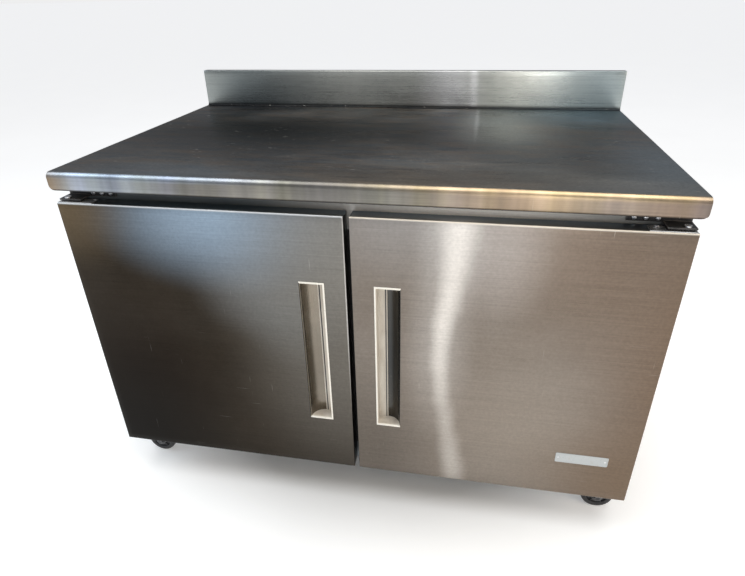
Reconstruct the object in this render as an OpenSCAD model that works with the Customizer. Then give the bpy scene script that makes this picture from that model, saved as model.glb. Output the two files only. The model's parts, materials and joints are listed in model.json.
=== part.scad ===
// Two-door worktop refrigerator on casters.
// Origin: centre of the footprint, on the floor. +X right, +Y to the back, +Z up.

/* [Worktop] */
// Width of the worktop
top_w = 1229; // [1150:1:1300]
// Depth from the fascia to the back of the upstand
top_d = 765; // [740:1:800]
// Height of the worktop above the floor
top_h = 819; // [815:1:830]
// Height of the front fascia
fascia_h = 36.6; // [34:0.1:38]
// Radius of the rolled front nose
nose_r = 11; // [6:0.5:12]
// Thickness of the worktop sheet
top_sheet = 1.5; // [1:0.1:2]
// Height of the upstand above the worktop
upstand_h = 102; // [60:1:150]
// Thickness of the upstand
upstand_t = 23; // [18:1:25]

/* [Doors] */
// Height of each door
door_h = 643.5; // [630:0.5:645]
// Gap between the two doors
door_gap = 10.9; // [8:0.1:12]
// Width over both doors
door_pair_w = 1219.7; // [1200:0.1:1222]
// Depth of the folded door pan
pan_d = 34; // [32:1:36]
// Depth of the gasket between the pan and the body
gasket_d = 12; // [10:1:14]
// Distance of the pivot from the door's outer edge
pivot_in = 16; // [14:1:16]
// Distance of the pivot from the door's front
pivot_back = 18; // [16:1:18]

/* [Handles] */
// Height of each recessed pull
pull_h = 354; // [300:1:380]
// Drop from the door's top edge to the pull
pull_drop = 145.5; // [120:0.5:160]
// Distance from the middle of the cabinet to the pull
pull_x = 52.5; // [46:0.5:60]
// Radius of the pull's curved scoop
scoop_r = 30; // [26:1:30]

/* [Casters] */
// Height of a caster
caster_h = 102; // [100:1:104]
// Radius of a wheel
wheel_r = 37.5; // [34:0.5:37.5]
// Width of a tyre
wheel_w = 26; // [22:1:26]
// Distance from a kingpin to its axle
trail = 30; // [24:1:30]

/* [Shelves] */
// Height of the lower shelves above the floor
shelf_low_z = 300; // [280:5:330]
// Height of the upper shelves above the floor
shelf_high_z = 500; // [470:5:520]
// Spacing of the shelf wires
wire_pitch = 26; // [20:1:40]

/* [Hidden] */

$fn = 48;
SIDES = [-1, 1];
GAP = 0.4;
SEAM = 0.2;
SHEET = 1.2;
FIT = 0.05;

// Worktop levels
front_y = -top_d / 2;
rear_y = top_d / 2;
splash_y = rear_y - upstand_t;
fascia_z = top_h - fascia_h;
corner_r = 11;
fascia_t = 40;

// Body shell: outer half width, front face and back face
body_x = 608;
door_front = front_y + 1.5;
pan_back = door_front + pan_d;
face_y = pan_back + gasket_d;
back_y = 375;
base_z = caster_h;
board_z = 787.5;
top_z = board_z - SHEET;

// Chilled room
wall = 2;
room_x = 561;
room_floor = 150;
room_roof = 712;
room_back = 327;
trim_d = 14;
step_y = 58;
step_z = 442;
mullion_x = 30;
mullion_back = -312;

// Machine bay behind and under the step
bay_y = 105;
bay_z = 395;
grille_z = 108;

// Doors
door_z = base_z + 10.5;
door_top = door_z + door_h;
door_in = door_gap / 2;
door_out = door_pair_w / 2;
pivot_x = door_out - pivot_in;
pivot_y = door_front + pivot_back;
gasket_w = 14;
gasket_out = 18;
gasket_in = 6;
bulge_out = 60;
bulge_in = 40;
bulge_d = 17;
hinge_plate_t = 1.2;
bush_r = 7;
pin_r = 4;
pin_l = 22;
arm_t = 3;
arm_gap = 1.2;
arm_front = 8;
plate_front = 15.5;
plate_rear = 10;
leg_x = [500, 608];
arm_x = 560;
leg_screws = [512, 532, 552];

// Pulls: the curve's centre lies just ahead of the door's front
pull_z = door_top - pull_drop - pull_h;
pull_top = pull_z + pull_h;
pull_back = door_front - 2 + scoop_r;
scoop_cx = pull_x + 21;
pull_out = scoop_cx + sqrt(scoop_r * scoop_r - 4);
cap_t = 3;
lip = 1.5;
lip_t = 0.8;
plate_x = [447, 556];
plate_z = 208;
plate_h = 26;

// Casters
kingpin_x = 546;
kingpin_y = 293;
king_r = 5;
axle_r = 5;
head_r = 26;
fork_in = 15;
fork_t = 2.5;
fork_top = 87.6;
fork_plate = 84;
pedal_x = 8;
pedal_z = 79;
pedal_pin = 2.5;
CASTERS = [[-1, -1, 180], [1, -1, 0], [-1, 1, 90], [1, 1, 90]];

// Shelves
shelf_w = 518;
shelf_x0 = 38;
shelf_y0 = -310;
shelf_d = 348;
frame_bar = 6;
wire_t = 3.2;
post_ys = [-296, 22];

// Evaporator
evap_x = 290;
evap_y = 150;
evap_z = 575;
coil_x = 255;
coil_y = [238, 318];
coil_z = [590, 700];
evap_fan = [-120, 172, 645];
evap_fan_r = 56;
knob_at = [170, 118, 645];

// Condensing unit
comp_at = [-400, 240];
comp_r = 78;
comp_foot = 22;
comp_wall = 116;
dome_r = comp_r + 20;
dome_z = 86;
pipe_r = 4;
suction_r = 6;
drier_r = 11;
cond_x = [40, 330];
cond_y = [292, 352];
cond_z = [112, 352];
cond_fan = [185, 262, 232];
cond_fan_r = 100;
pan_at = [370, 140];
pan_size = [190, 200, 42];
gland_at = [-540, 150];
gland_r = 6;

// A block between two corners
module block(a, b) {
    translate(a)
        cube(b - a);
}

// A rod along Y from y0 to y1
module rod_y(x, z, y0, y1, r) {
    translate([x, y1, z])
        rotate([90, 0, 0])
            cylinder(h = y1 - y0, r = r);
}

// A rod along X from x0 to x1
module rod_x(y, z, x0, x1, r) {
    translate([x0, y, z])
        rotate([0, 90, 0])
            cylinder(h = x1 - x0, r = r);
}

// Copies its children to one side of the cabinet
module on_side(s) {
    mirror([s < 0 ? 1 : 0, 0, 0])
        children();
}

// Side outline of the worktop, inset by t on its front and top
module worktop_outline(t) {
    r = nose_r - t;
    difference() {
        translate([front_y + t, fascia_z - t])
            square([splash_y - front_y - t, fascia_h]);
        difference() {
            translate([front_y + t - 1, top_h - t - r])
                square([r + 1, r + 1]);
            translate([front_y + t + r, top_h - t - r])
                circle(r);
        }
    }
}

// Rounds the lower ends of the fascia
module fascia_corner(s) {
    difference() {
        translate([s * (top_w / 2 + 1) - corner_r, front_y - 1, fascia_z - 1])
            cube([2 * corner_r, fascia_t, corner_r + 1]);
        rod_y(s * (top_w / 2 - corner_r), fascia_z + corner_r,
            front_y - 2, front_y + fascia_t + 1, corner_r);
    }
}

module worktop() {
    color("silver")
    difference() {
        translate([-top_w / 2, 0, 0])
            rotate([90, 0, 90])
                linear_extrude(top_w)
                    worktop_outline(0);
        translate([-top_w / 2 + top_sheet, 0, 0])
            rotate([90, 0, 90])
                linear_extrude(top_w - 2 * top_sheet)
                    worktop_outline(top_sheet);
        for (s = SIDES)
            fascia_corner(s);
    }
}

module worktop_board() {
    edge = top_w / 2 - top_sheet - 0.5;
    color("burlywood")
        block([-edge, front_y + nose_r + 4, board_z], [edge, splash_y - 1, top_h - top_sheet]);
}

module upstand() {
    color("silver")
    difference() {
        block([-top_w / 2, splash_y, fascia_z], [top_w / 2, rear_y, top_h + upstand_h]);
        block([-top_w / 2 + top_sheet, splash_y + top_sheet, fascia_z - 1],
            [top_w / 2 - top_sheet, rear_y - top_sheet, top_h + upstand_h - top_sheet]);
        block([-body_x - GAP, splash_y - 1, fascia_z - 1], [body_x + GAP, splash_y + 5, board_z]);
    }
}

module side_panels() {
    color("silver")
    for (s = SIDES)
        on_side(s)
            block([body_x - SHEET, face_y, base_z], [body_x, back_y, board_z]);
}

module back_panel() {
    color("lightgray")
        block([SHEET - body_x, back_y - SHEET, bay_z + SHEET], [body_x - SHEET, back_y, board_z]);
}

module base_pan() {
    edge = body_x - SHEET;
    color("gray") {
        block([-edge, face_y + SHEET, base_z], [edge, back_y - SHEET, base_z + SHEET]);
        block([-edge, bay_y, base_z + SHEET + SEAM], [edge, bay_y + SHEET, bay_z - SEAM]);
        block([-edge, bay_y, bay_z], [edge, back_y - SHEET - SEAM, bay_z + SHEET]);
    }
}

module top_panel() {
    edge = body_x - SHEET;
    color("lightgray")
        block([-edge, face_y + SHEET, top_z], [edge, back_y - SHEET, board_z]);
}

// The chilled room's outer form, grown by t
module room(t) {
    y0 = face_y - 1;
    block([-room_x - t, y0, room_floor - t], [room_x + t, step_y + t, room_roof + t]);
    block([-room_x - t, y0, step_z - t], [room_x + t, room_back + t, room_roof + t]);
}

// Holes for the hinge brackets' screws, from the face into the foam
module leg_screw_holes(r, y0, y1) {
    for (s = SIDES, x = leg_screws)
        rod_y(s * x, door_top + 9, y0, y1, r);
}

module insulation() {
    edge = body_x - SHEET;
    color("khaki")
    difference() {
        block([-edge, face_y + SHEET, base_z + SHEET], [edge, back_y - SHEET, top_z]);
        room(wall);
        block([-body_x, bay_y, base_z], [body_x, back_y, bay_z + SHEET]);
        leg_screw_holes(2.2, face_y - 1, face_y + 12);
    }
}

// Flat liner sheets with a narrow seam between neighbours
module liner() {
    y0 = face_y + trim_d;
    x1 = room_x - SEAM;
    color("white") {
        for (s = SIDES)
            on_side(s) {
                block([room_x, y0, room_floor - wall], [room_x + wall, step_y + wall, step_z - SEAM]);
                block([room_x, y0, step_z], [room_x + wall, room_back + wall, room_roof + wall]);
            }
        block([-x1, y0, room_floor - wall], [x1, step_y - SEAM, room_floor]);
        block([-x1, y0, room_roof], [x1, room_back, room_roof + wall]);
        block([-x1, room_back, step_z - wall], [x1, room_back + wall, room_roof - SEAM]);
        block([-x1, step_y, step_z - wall], [x1, room_back - SEAM, step_z]);
        block([-x1, step_y, room_floor - wall], [x1, step_y + wall, step_z - wall - SEAM]);
    }
}

module front_frame() {
    y1 = face_y + SHEET;
    color("silver")
    difference() {
        union() {
            block([-body_x + SHEET, face_y, room_roof], [body_x - SHEET, y1, board_z]);
            block([-body_x + SHEET, face_y, base_z], [body_x - SHEET, y1, room_floor]);
            for (s = SIDES)
                on_side(s)
                    block([room_x, face_y, room_floor + SEAM], [body_x - SHEET, y1, room_roof - SEAM]);
        }
        leg_screw_holes(2.2, face_y - 1, y1 + 1);
    }
}

module mullion() {
    color("dimgray")
        block([-mullion_x, face_y, room_floor], [mullion_x, mullion_back, room_roof]);
}

module breaker_trim() {
    y0 = face_y + SHEET;
    y1 = face_y + trim_d;
    color("gainsboro") {
        for (s = SIDES)
            on_side(s)
                block([room_x, y0, room_floor - wall], [room_x + wall, y1, room_roof + wall]);
        for (z = [room_floor - wall, room_roof])
            block([SEAM - room_x, y0, z], [room_x - SEAM, y1, z + wall]);
    }
}

// One upper hinge bracket on the right: a leg on the rail and an arm over the door
module bracket_top() {
    z0 = door_top + hinge_plate_t + arm_gap;
    difference() {
        union() {
            block([leg_x[0], face_y - arm_t, z0], [leg_x[1], face_y, z0 + 13.5]);
            block([arm_x, pivot_y - arm_front, z0], [leg_x[1], face_y - arm_t, z0 + arm_t]);
        }
        translate([pivot_x, pivot_y, z0 - 1])
            cylinder(h = arm_t + 2, r = pin_r);
        leg_screw_holes(2.2, face_y - arm_t - 1, face_y + 1);
    }
}

module bracket_bottom() {
    z1 = door_z - hinge_plate_t - arm_gap;
    difference() {
        union() {
            block([leg_x[0], face_y - arm_t, base_z], [leg_x[1], face_y, z1]);
            block([arm_x, pivot_y - arm_front, z1 - arm_t], [leg_x[1], face_y - arm_t, z1]);
        }
        translate([pivot_x, pivot_y, z1 - arm_t - 1])
            cylinder(h = arm_t + 2, r = pin_r);
    }
}

module hinge_brackets() {
    color("#202020")
    for (s = SIDES)
        on_side(s) {
            bracket_top();
            bracket_bottom();
        }
}

// A headed pin whose arm end is at z = 0 and whose tip points down
module hinge_pin() {
    translate([0, 0, -pin_l])
        cylinder(h = pin_l + arm_t, r = pin_r);
    translate([0, 0, arm_t])
        cylinder(h = 2.5, r = 6.5);
}

module hinge_pins() {
    color("lightsteelblue")
    for (s = SIDES)
        on_side(s) {
            translate([pivot_x, pivot_y, door_top + hinge_plate_t + arm_gap])
                hinge_pin();
            translate([pivot_x, pivot_y, door_z - hinge_plate_t - arm_gap])
                mirror([0, 0, 1])
                    hinge_pin();
        }
}

// A pan-head screw whose head rests on y = 0 and whose shank points to +Y
module pan_screw(shank) {
    rod_y(0, 0, -2.4, 0, 4.5);
    rod_y(0, 0, 0, shank, 2);
}

module screws() {
    color("white") {
        for (s = SIDES, x = leg_screws)
            translate([s * x, face_y - arm_t, door_top + 9])
                pan_screw(12);
        for (x = [-580, 0, 580], z = [grille_z + 10, bay_z - 9])
            translate([x, back_y, z])
                mirror([0, 1, 0])
                    pan_screw(8);
    }
}

module pilasters() {
    h = room_roof - room_floor;
    color("silver") {
        for (s = SIDES, y = post_ys)
            on_side(s)
                block([room_x - 5, y - 10, room_floor], [room_x, y + 10, room_floor + h]);
        block([-20, mullion_back, room_floor], [20, mullion_back + 5, room_roof]);
        block([-12, step_y - 14, room_floor], [12, step_y, room_roof]);
    }
}

// Clips hold each shelf near its corners
module shelf_clips() {
    color("darkgray")
    for (s = SIDES, z = [shelf_low_z, shelf_high_z])
        on_side(s) {
            for (y = post_ys)
                block([room_x - 17, y - 6, z - 8], [room_x - 5, y + 6, z]);
            block([12, step_y - 16 - 10, z - 8], [44, step_y - 14, z]);
            block([20, mullion_back + 5, z - 8], [44, mullion_back + 15, z]);
        }
}

// One wire shelf: a bar frame, two cross bars and wires from front to back
module shelf() {
    inner = shelf_w - 2 * frame_bar;
    count = floor(inner / wire_pitch);
    step = inner / (count + 1);
    difference() {
        cube([shelf_w, shelf_d, frame_bar]);
        translate([frame_bar, frame_bar, -1])
            cube([inner, shelf_d - 2 * frame_bar, frame_bar + 2]);
    }
    for (y = [shelf_d / 3, 2 * shelf_d / 3])
        translate([frame_bar - 1, y, 0])
            cube([inner + 2, wire_t, wire_t]);
    for (i = [1 : count])
        translate([frame_bar + i * step - wire_t / 2, frame_bar - 1, frame_bar - wire_t])
            cube([wire_t, shelf_d - 2 * frame_bar + 2, wire_t]);
}

module shelves() {
    color("lightblue")
    for (s = SIDES, z = [shelf_low_z, shelf_high_z])
        on_side(s)
            translate([shelf_x0, shelf_y0, z])
                shelf();
}

// A finned coil block: thin plates on tubes that run along X
module finned_block(a, b, pitch, rows) {
    size = b - a;
    n = floor(size[0] / pitch);
    for (i = [0 : n])
        translate([a[0] + i * size[0] / (n + 1), a[1], a[2]])
            cube([1, size[1], size[2]]);
    for (k = [0 : rows - 1])
        rod_x(a[1] + size[1] / 2, a[2] + (k + 0.5) * size[2] / rows, a[0], b[0], 4.5);
}

// Fan blades about +Y, each a pitched plate on a hub with a shaft bore
module fan(r, hub_r, blades, chord, bore) {
    rotate([90, 0, 0])
        difference() {
            union() {
                translate([0, 0, -8])
                    cylinder(h = 16, r = hub_r);
                for (i = [0 : blades - 1])
                    rotate([0, 0, i * 360 / blades])
                        translate([hub_r - 3, 0, 0])
                            rotate([28, 0, 0])
                                translate([0, -chord / 2, -0.8])
                                    cube([r - hub_r + 2, chord, 1.6]);
            }
            translate([0, 0, -9])
                cylinder(h = 18, r = bore);
        }
}

module evaporator_cover() {
    fan_hole = evap_fan_r + 5;
    color("whitesmoke")
    difference() {
        block([-evap_x, evap_y, evap_z], [evap_x, room_back, room_roof]);
        block([-evap_x + SHEET, evap_y + SHEET, evap_z + SHEET],
            [evap_x - SHEET, room_back + 1, room_roof + 1]);
        rod_y(evap_fan[0], evap_fan[2], evap_y - 1, evap_y + 3, fan_hole);
        for (i = [0 : 9])
            block([-20 + i * 12, evap_y + 40, evap_z - 1], [-14 + i * 12, evap_y + 130, evap_z + 2]);
        rod_y(knob_at[0], knob_at[2], evap_y - 1, evap_y + 3, 6);
    }
}

module evaporator_coil() {
    color("lightgray")
        finned_block([-coil_x, coil_y[0], coil_z[0]], [coil_x, coil_y[1], coil_z[1]], 17, 4);
}

module evaporator_motor() {
    at = evap_fan;
    color("dimgray") {
        rod_y(at[0], at[2], at[1] + 14, at[1] + 48, 26);
        rod_y(at[0], at[2], at[1] - 10, at[1] + 14, 3);
        block([at[0] - 45, at[1] + 48, at[2] - 6], [at[0] + 45, at[1] + 51, at[2] + 6]);
    }
}

module evaporator_fan() {
    color("black")
        translate(evap_fan)
            fan(evap_fan_r, 14, 5, 30, 3 + FIT);
}

module control_housing() {
    at = knob_at;
    color("white")
    difference() {
        block([at[0] - 55, evap_y - 20, at[2] - 38], [at[0] + 75, evap_y, at[2] + 38]);
        rod_y(at[0], at[2], evap_y - 21, evap_y - 4, 3 + FIT);
    }
}

module thermostat_knob() {
    at = knob_at;
    y1 = evap_y - 20 - GAP;
    color("black") {
        rod_y(at[0], at[2], y1 - 14, y1, 19);
        rod_y(at[0], at[2], y1, y1 + 12, 3);
        block([at[0] - 2, y1 - 18, at[2] - 16], [at[0] + 2, y1 - 14, at[2] + 16]);
    }
}

// Height of the compressor's dome at a distance r from its middle
function dome_at(r) = base_z + SHEET + comp_foot + dome_z + sqrt(dome_r * dome_r - r * r);

module compressor() {
    z0 = base_z + SHEET + comp_foot;
    color("#1c1c1e") {
        translate([comp_at[0], comp_at[1], z0])
            rotate_extrude($fn = 64)
                difference() {
                    union() {
                        translate([0, 4])
                            square([comp_r, comp_wall - 4]);
                        intersection() {
                            translate([0, dome_z])
                                circle(dome_r);
                            translate([0, comp_wall])
                                square([comp_r - 4, dome_r]);
                        }
                    }
                    translate([-200, -20])
                        square([200, 300]);
                }
        block([comp_at[0] - 108, comp_at[1] - 70, z0], [comp_at[0] + 108, comp_at[1] + 70, z0 + 4]);
    }
}

module compressor_feet() {
    color("black")
    for (x = [-92, 92], y = [-54, 54])
        translate([comp_at[0] + x, comp_at[1] + y, base_z + SHEET])
            cylinder(h = comp_foot, r = 14);
}

module condenser_coil() {
    color("#303030")
        finned_block([cond_x[0], cond_y[0], cond_z[0]], [cond_x[1], cond_y[1], cond_z[1]], 10, 7);
}

module condenser_motor() {
    at = cond_fan;
    color("gray") {
        rod_y(at[0], at[2], at[1] - 74, at[1] - 14, 38);
        rod_y(at[0], at[2], at[1] - 14, at[1] + 10, 4);
        for (x = [-30, 30])
            block([at[0] + x - 6, at[1] - 60, base_z + SHEET], [at[0] + x + 6, at[1] - 57, at[2] - 18]);
    }
}

module condenser_fan() {
    color("lightgray")
        translate(cond_fan)
            fan(cond_fan_r, 24, 4, 46, 4 + FIT);
}

module condensate_pan() {
    z0 = base_z + SHEET;
    color("white")
    translate([pan_at[0], pan_at[1], z0])
        difference() {
            cube(pan_size);
            translate([2, 2, 2])
                cube([pan_size[0] - 4, pan_size[1] - 4, pan_size[2]]);
        }
}

// A quarter elbow about +Z, from the +X direction to the +Y direction, wider than its pipe
module bend(r, pipe) {
    rotate_extrude(angle = 90)
        translate([r, 0])
            circle(pipe + 0.8);
}

// The discharge pipe, the return pipe, and the liquid pipe with its filter drier.
// Each pipe ends a little inside its elbow.
module refrigerant_lines() {
    bend_r = 14;
    socket = 1;
    reach = bend_r - socket;
    high_z = 326;
    low_z = 150;
    drier_y = 330;
    drier_x = [-180, -60];
    liquid_r = 3;
    discharge = 60;
    suction = 40;
    x0 = comp_at[0] + discharge;
    x1 = cond_x[0] - 8;
    riser_x = -200;
    z0 = dome_at(discharge - pipe_r);
    z1 = dome_at(suction - suction_r);
    color("peru") {
        translate([x0, comp_at[1], z0])
            cylinder(h = high_z - reach - z0, r = pipe_r);
        translate([x0 + bend_r, comp_at[1], high_z - bend_r])
            rotate([0, -90, 0])
                rotate([90, 0, 0])
                    bend(bend_r, pipe_r);
        rod_x(comp_at[1], high_z, x0 + reach, x1 - reach, pipe_r);
        translate([x1 - bend_r, comp_at[1] + bend_r, high_z])
            rotate([0, 0, -90])
                bend(bend_r, pipe_r);
        rod_y(x1, high_z, comp_at[1] + reach, cond_y[0] + 26, pipe_r);
        translate([comp_at[0] - suction, comp_at[1], z1])
            cylinder(h = bay_z - z1, r = suction_r);
        rod_x(drier_y, low_z, riser_x + reach, cond_x[0], liquid_r);
        rod_x(drier_y, low_z, drier_x[0], drier_x[1], drier_r);
        translate([riser_x + bend_r, drier_y, low_z + bend_r])
            rotate([90, 0, 0])
                rotate([0, 0, 180])
                    bend(bend_r, liquid_r);
        translate([riser_x, drier_y, low_z + reach])
            cylinder(h = bay_z - low_z - reach, r = liquid_r);
    }
}

module terminal_box() {
    x0 = comp_at[0] + comp_r + 2;
    color("black")
        block([x0, comp_at[1] - 28, 170], [x0 + 34, comp_at[1] + 28, 235]);
}

// A bushed gland for a cable through the rear grille
module cable_gland() {
    color("black")
    difference() {
        union() {
            rod_y(gland_at[0], gland_at[1], back_y - 7, back_y, 9);
            rod_y(gland_at[0], gland_at[1], back_y, back_y + 7, 13);
        }
        rod_y(gland_at[0], gland_at[1], back_y - 8, back_y + 8, gland_r);
    }
}

module rear_grille() {
    x1 = body_x - SHEET;
    slots = 14;
    bank_w = 260;
    slot_h = 6;
    slot_pitch = 16;
    color("gray")
    difference() {
        block([-x1, back_y - SHEET, base_z], [x1, back_y, bay_z + SHEET]);
        rod_y(gland_at[0], gland_at[1], back_y - 3, back_y + 1, 9 + FIT);
        for (x = [-400, 0, 400], i = [0 : slots - 1])
            translate([x - bank_w / 2, back_y - 3, grille_z + 30 + i * slot_pitch])
                cube([bank_w, 4, slot_h]);
        for (x = [-580, 0, 580], z = [grille_z + 10, bay_z - 9])
            rod_y(x, z, back_y - 3, back_y + 1, 2.2);
    }
}

// Places its children at one caster, turned to its trailing direction
module at_caster(c) {
    translate([c[0] * kingpin_x, c[1] * kingpin_y, 0])
        rotate([0, 0, c[2]])
            children();
}

module caster_plates() {
    color("gray")
    for (c = CASTERS)
        translate([c[0] * kingpin_x, c[1] * kingpin_y, 0])
            difference() {
                union() {
                    translate([-46, -32, caster_h - 3])
                        cube([92, 64, 3]);
                    translate([0, 0, fork_top + GAP])
                        cylinder(h = caster_h - 3 - fork_top - GAP, r = head_r);
                }
                translate([0, 0, fork_top])
                    cylinder(h = 10, r = king_r + FIT);
            }
}

// One side of a fork in the wheel's plane
module fork_leg(y) {
    translate([0, y + fork_t, 0])
        rotate([90, 0, 0])
            difference() {
                linear_extrude(fork_t) {
                    polygon([[-22, fork_plate], [-22, 72], [trail - 11, wheel_r - 4],
                        [trail + 11, wheel_r - 4], [22, fork_plate]]);
                    translate([trail, wheel_r - 1])
                        circle(12);
                }
                translate([trail, wheel_r, -1])
                    cylinder(h = fork_t + 2, r = axle_r);
                translate([pedal_x, pedal_z, -1])
                    cylinder(h = fork_t + 2, r = pedal_pin + FIT);
            }
}

// A fork with its kingpin, and the axle bolt across it
module fork(c) {
    color("dimgray")
    at_caster(c) {
        translate([0, 0, fork_plate])
            cylinder(h = fork_top - fork_plate, r = head_r - 2);
        translate([0, 0, fork_plate])
            cylinder(h = 12.6, r = king_r);
        fork_leg(fork_in);
        fork_leg(-fork_in - fork_t);
        rod_y(trail, wheel_r, -fork_in - fork_t, fork_in + fork_t, axle_r);
        rod_y(trail, wheel_r, fork_in + fork_t, fork_in + fork_t + 3.5, 8);
        rod_y(trail, wheel_r, -fork_in - fork_t - 3.5, -fork_in - fork_t, 8);
    }
}

module wheel(c) {
    r = 5;
    half = wheel_w / 2;
    color("#151515")
    at_caster(c)
        translate([trail, 0, wheel_r])
            rotate([90, 0, 0])
                rotate_extrude($fn = 72)
                    difference() {
                        union() {
                            translate([axle_r + FIT, -half])
                                square([wheel_r - r - axle_r - FIT, wheel_w]);
                            translate([wheel_r - r - 1, -half + r])
                                square([r + 1, wheel_w - 2 * r]);
                            for (y = SIDES)
                                translate([wheel_r - r, y * (half - r)])
                                    circle(r);
                            translate([axle_r + FIT, -fork_in + GAP])
                                square([8, 2 * fork_in - 2 * GAP]);
                        }
                        for (y = SIDES)
                            translate([16, y * (half + 6) - 9])
                                square([12, 18]);
                    }
}

// A brake pedal whose pin turns in the fork's legs
module brake(c) {
    reach = 60;
    color("dimgray")
    at_caster(c) {
        translate([pedal_x - 4, -12, pedal_z - 1.5])
            cube([reach - pedal_x + 4, 24, 3]);
        rod_y(pedal_x, pedal_z, -fork_in - fork_t, fork_in + fork_t, pedal_pin);
        translate([reach - 14, -18, pedal_z - 1.5])
            cube([14, 36, 5]);
    }
}

// One door's outer pan, folded from sheet, with the pull's hole
module door_skin() {
    difference() {
        block([door_in, door_front, door_z], [door_out, pan_back, door_top]);
        block([door_in + SHEET, door_front + SHEET, door_z + SHEET],
            [door_out - SHEET, pan_back + 1, door_top - SHEET]);
        block([pull_x, door_front - 1, pull_z], [pull_out, door_front + 3, pull_top]);
        bush_room(bush_r + 0.2);
    }
}

// Clears a hole for both hinge bushes
module bush_room(r) {
    for (z = [door_z - 1, door_top - pin_l - 2])
        translate([pivot_x, pivot_y, z])
            cylinder(h = pin_l + 3, r = r);
}

// The door's bulge towards the chilled room, inset by t
module door_bulge(t) {
    block([door_in + bulge_in + t, pan_back - wall - 1, door_z + bulge_out + t],
        [door_out - bulge_out - t, pan_back + bulge_d - t, door_top - bulge_out - t]);
}

module door_core() {
    difference() {
        union() {
            block([door_in + SHEET, door_front + SHEET, door_z + SHEET],
                [door_out - SHEET, pan_back - wall, door_top - SHEET]);
            door_bulge(wall);
        }
        block([pull_x - 2, door_front, pull_z - 2], [pull_out + 3, pull_back + 2, pull_top + 2]);
        bush_room(bush_r + 1);
    }
}

module door_liner() {
    difference() {
        union() {
            block([door_in + SHEET, pan_back - wall, door_z + SHEET],
                [door_out - SHEET, pan_back, door_top - SHEET]);
            block([door_in + bulge_in, pan_back - 1, door_z + bulge_out],
                [door_out - bulge_out, pan_back + bulge_d, door_top - bulge_out]);
        }
        door_bulge(wall);
    }
}

// Four magnetic gasket strips round the door's back
module door_gasket() {
    x0 = door_in + gasket_in;
    x1 = door_out - gasket_out;
    z0 = door_z + gasket_out;
    z1 = door_top - gasket_out;
    y1 = face_y - GAP;
    w = gasket_w;
    block([x0, pan_back, z0], [x0 + w, y1, z1]);
    block([x1 - w, pan_back, z0], [x1, y1, z1]);
    for (z = [z0, z1 - w])
        block([x0 + w + SEAM, pan_back, z], [x1 - w - SEAM, y1, z + w]);
}

// Plan of the pull's cavity: a flat back, then a curve to the door's surface
module pull_plan() {
    translate([pull_x, door_front])
        square([scoop_cx - pull_x, pull_back - door_front]);
    intersection() {
        translate([scoop_cx - 1, door_front])
            square([scoop_r + 2, scoop_r]);
        translate([scoop_cx, door_front - 2])
            circle(scoop_r, $fn = 96);
    }
}

// Pale cup of a pull: wall, back, end caps and a thin lip on three sides
module pull_cup() {
    t = 1.5;
    translate([0, 0, pull_z])
        linear_extrude(cap_t)
            pull_plan();
    translate([0, 0, pull_top - cap_t])
        linear_extrude(cap_t)
            pull_plan();
    block([pull_x, door_front, pull_z], [pull_x + t, pull_back, pull_top]);
    block([pull_x, pull_back - t, pull_z], [scoop_cx, pull_back, pull_top]);
    block([pull_x - lip, door_front - lip_t, pull_z - lip], [pull_x + t, door_front, pull_top + lip]);
    for (z = [pull_z - lip, pull_top - t])
        block([pull_x, door_front - lip_t, z], [pull_out, door_front, z + lip + t]);
}

// Steel scoop of a pull: a curved sheet outside the cavity
module pull_scoop() {
    translate([0, 0, pull_z + cap_t])
        linear_extrude(pull_h - 2 * cap_t)
            intersection() {
                difference() {
                    translate([scoop_cx, door_front - 2])
                        circle(scoop_r + SHEET, $fn = 96);
                    translate([scoop_cx, door_front - 2])
                        circle(scoop_r, $fn = 96);
                }
                translate([scoop_cx, door_front + SHEET])
                    square([scoop_r + 3, scoop_r]);
            }
}

// A bush under a thin plate on the door's top edge, and the same at the bottom
module hinge_plates() {
    for (top = [true, false])
        translate([0, 0, top ? door_top : door_z])
            mirror([0, 0, top ? 0 : 1])
                difference() {
                    union() {
                        block([door_out - 79, pivot_y - plate_front, 0],
                            [door_out - 3, pivot_y + plate_rear, hinge_plate_t]);
                        translate([pivot_x, pivot_y, -pin_l])
                            cylinder(h = pin_l, r = bush_r);
                    }
                    translate([pivot_x, pivot_y, -pin_l - 1])
                        cylinder(h = pin_l + 4, r = pin_r + FIT);
                }
}

module blank_plate() {
    color("whitesmoke")
        block([plate_x[0], door_front - 1, plate_z], [plate_x[1], door_front, plate_z + plate_h]);
}

worktop();
worktop_board();
upstand();
side_panels();
back_panel();
base_pan();
top_panel();
insulation();
liner();
front_frame();
mullion();
breaker_trim();
hinge_brackets();
hinge_pins();
screws();
pilasters();
shelf_clips();
shelves();
evaporator_cover();
evaporator_coil();
evaporator_motor();
evaporator_fan();
control_housing();
thermostat_knob();
compressor();
compressor_feet();
condenser_coil();
condenser_motor();
condenser_fan();
condensate_pan();
refrigerant_lines();
terminal_box();
cable_gland();
rear_grille();
caster_plates();
fork(CASTERS[0]);  // fork_front_left
fork(CASTERS[1]);  // fork_front_right
fork(CASTERS[2]);  // fork_rear_left
fork(CASTERS[3]);  // fork_rear_right
wheel(CASTERS[0]);  // wheel_front_left
wheel(CASTERS[1]);  // wheel_front_right
wheel(CASTERS[2]);  // wheel_rear_left
wheel(CASTERS[3]);  // wheel_rear_right
brake(CASTERS[0]);  // brake_left
brake(CASTERS[1]);  // brake_right
on_side(-1) color("silver") door_skin();  // left_door_skin
on_side(-1) color("khaki") door_core();  // left_door_core
on_side(-1) color("white") door_liner();  // left_door_liner
on_side(-1) color("gray") door_gasket();  // left_door_gasket
on_side(-1) color("beige") pull_cup();  // left_pull_cup
on_side(-1) color("dimgray") pull_scoop();  // left_pull_scoop
on_side(-1) color("silver") hinge_plates();  // left_hinge_plates
color("silver") door_skin();  // right_door_skin
color("khaki") door_core();  // right_door_core
color("white") door_liner();  // right_door_liner
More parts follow.
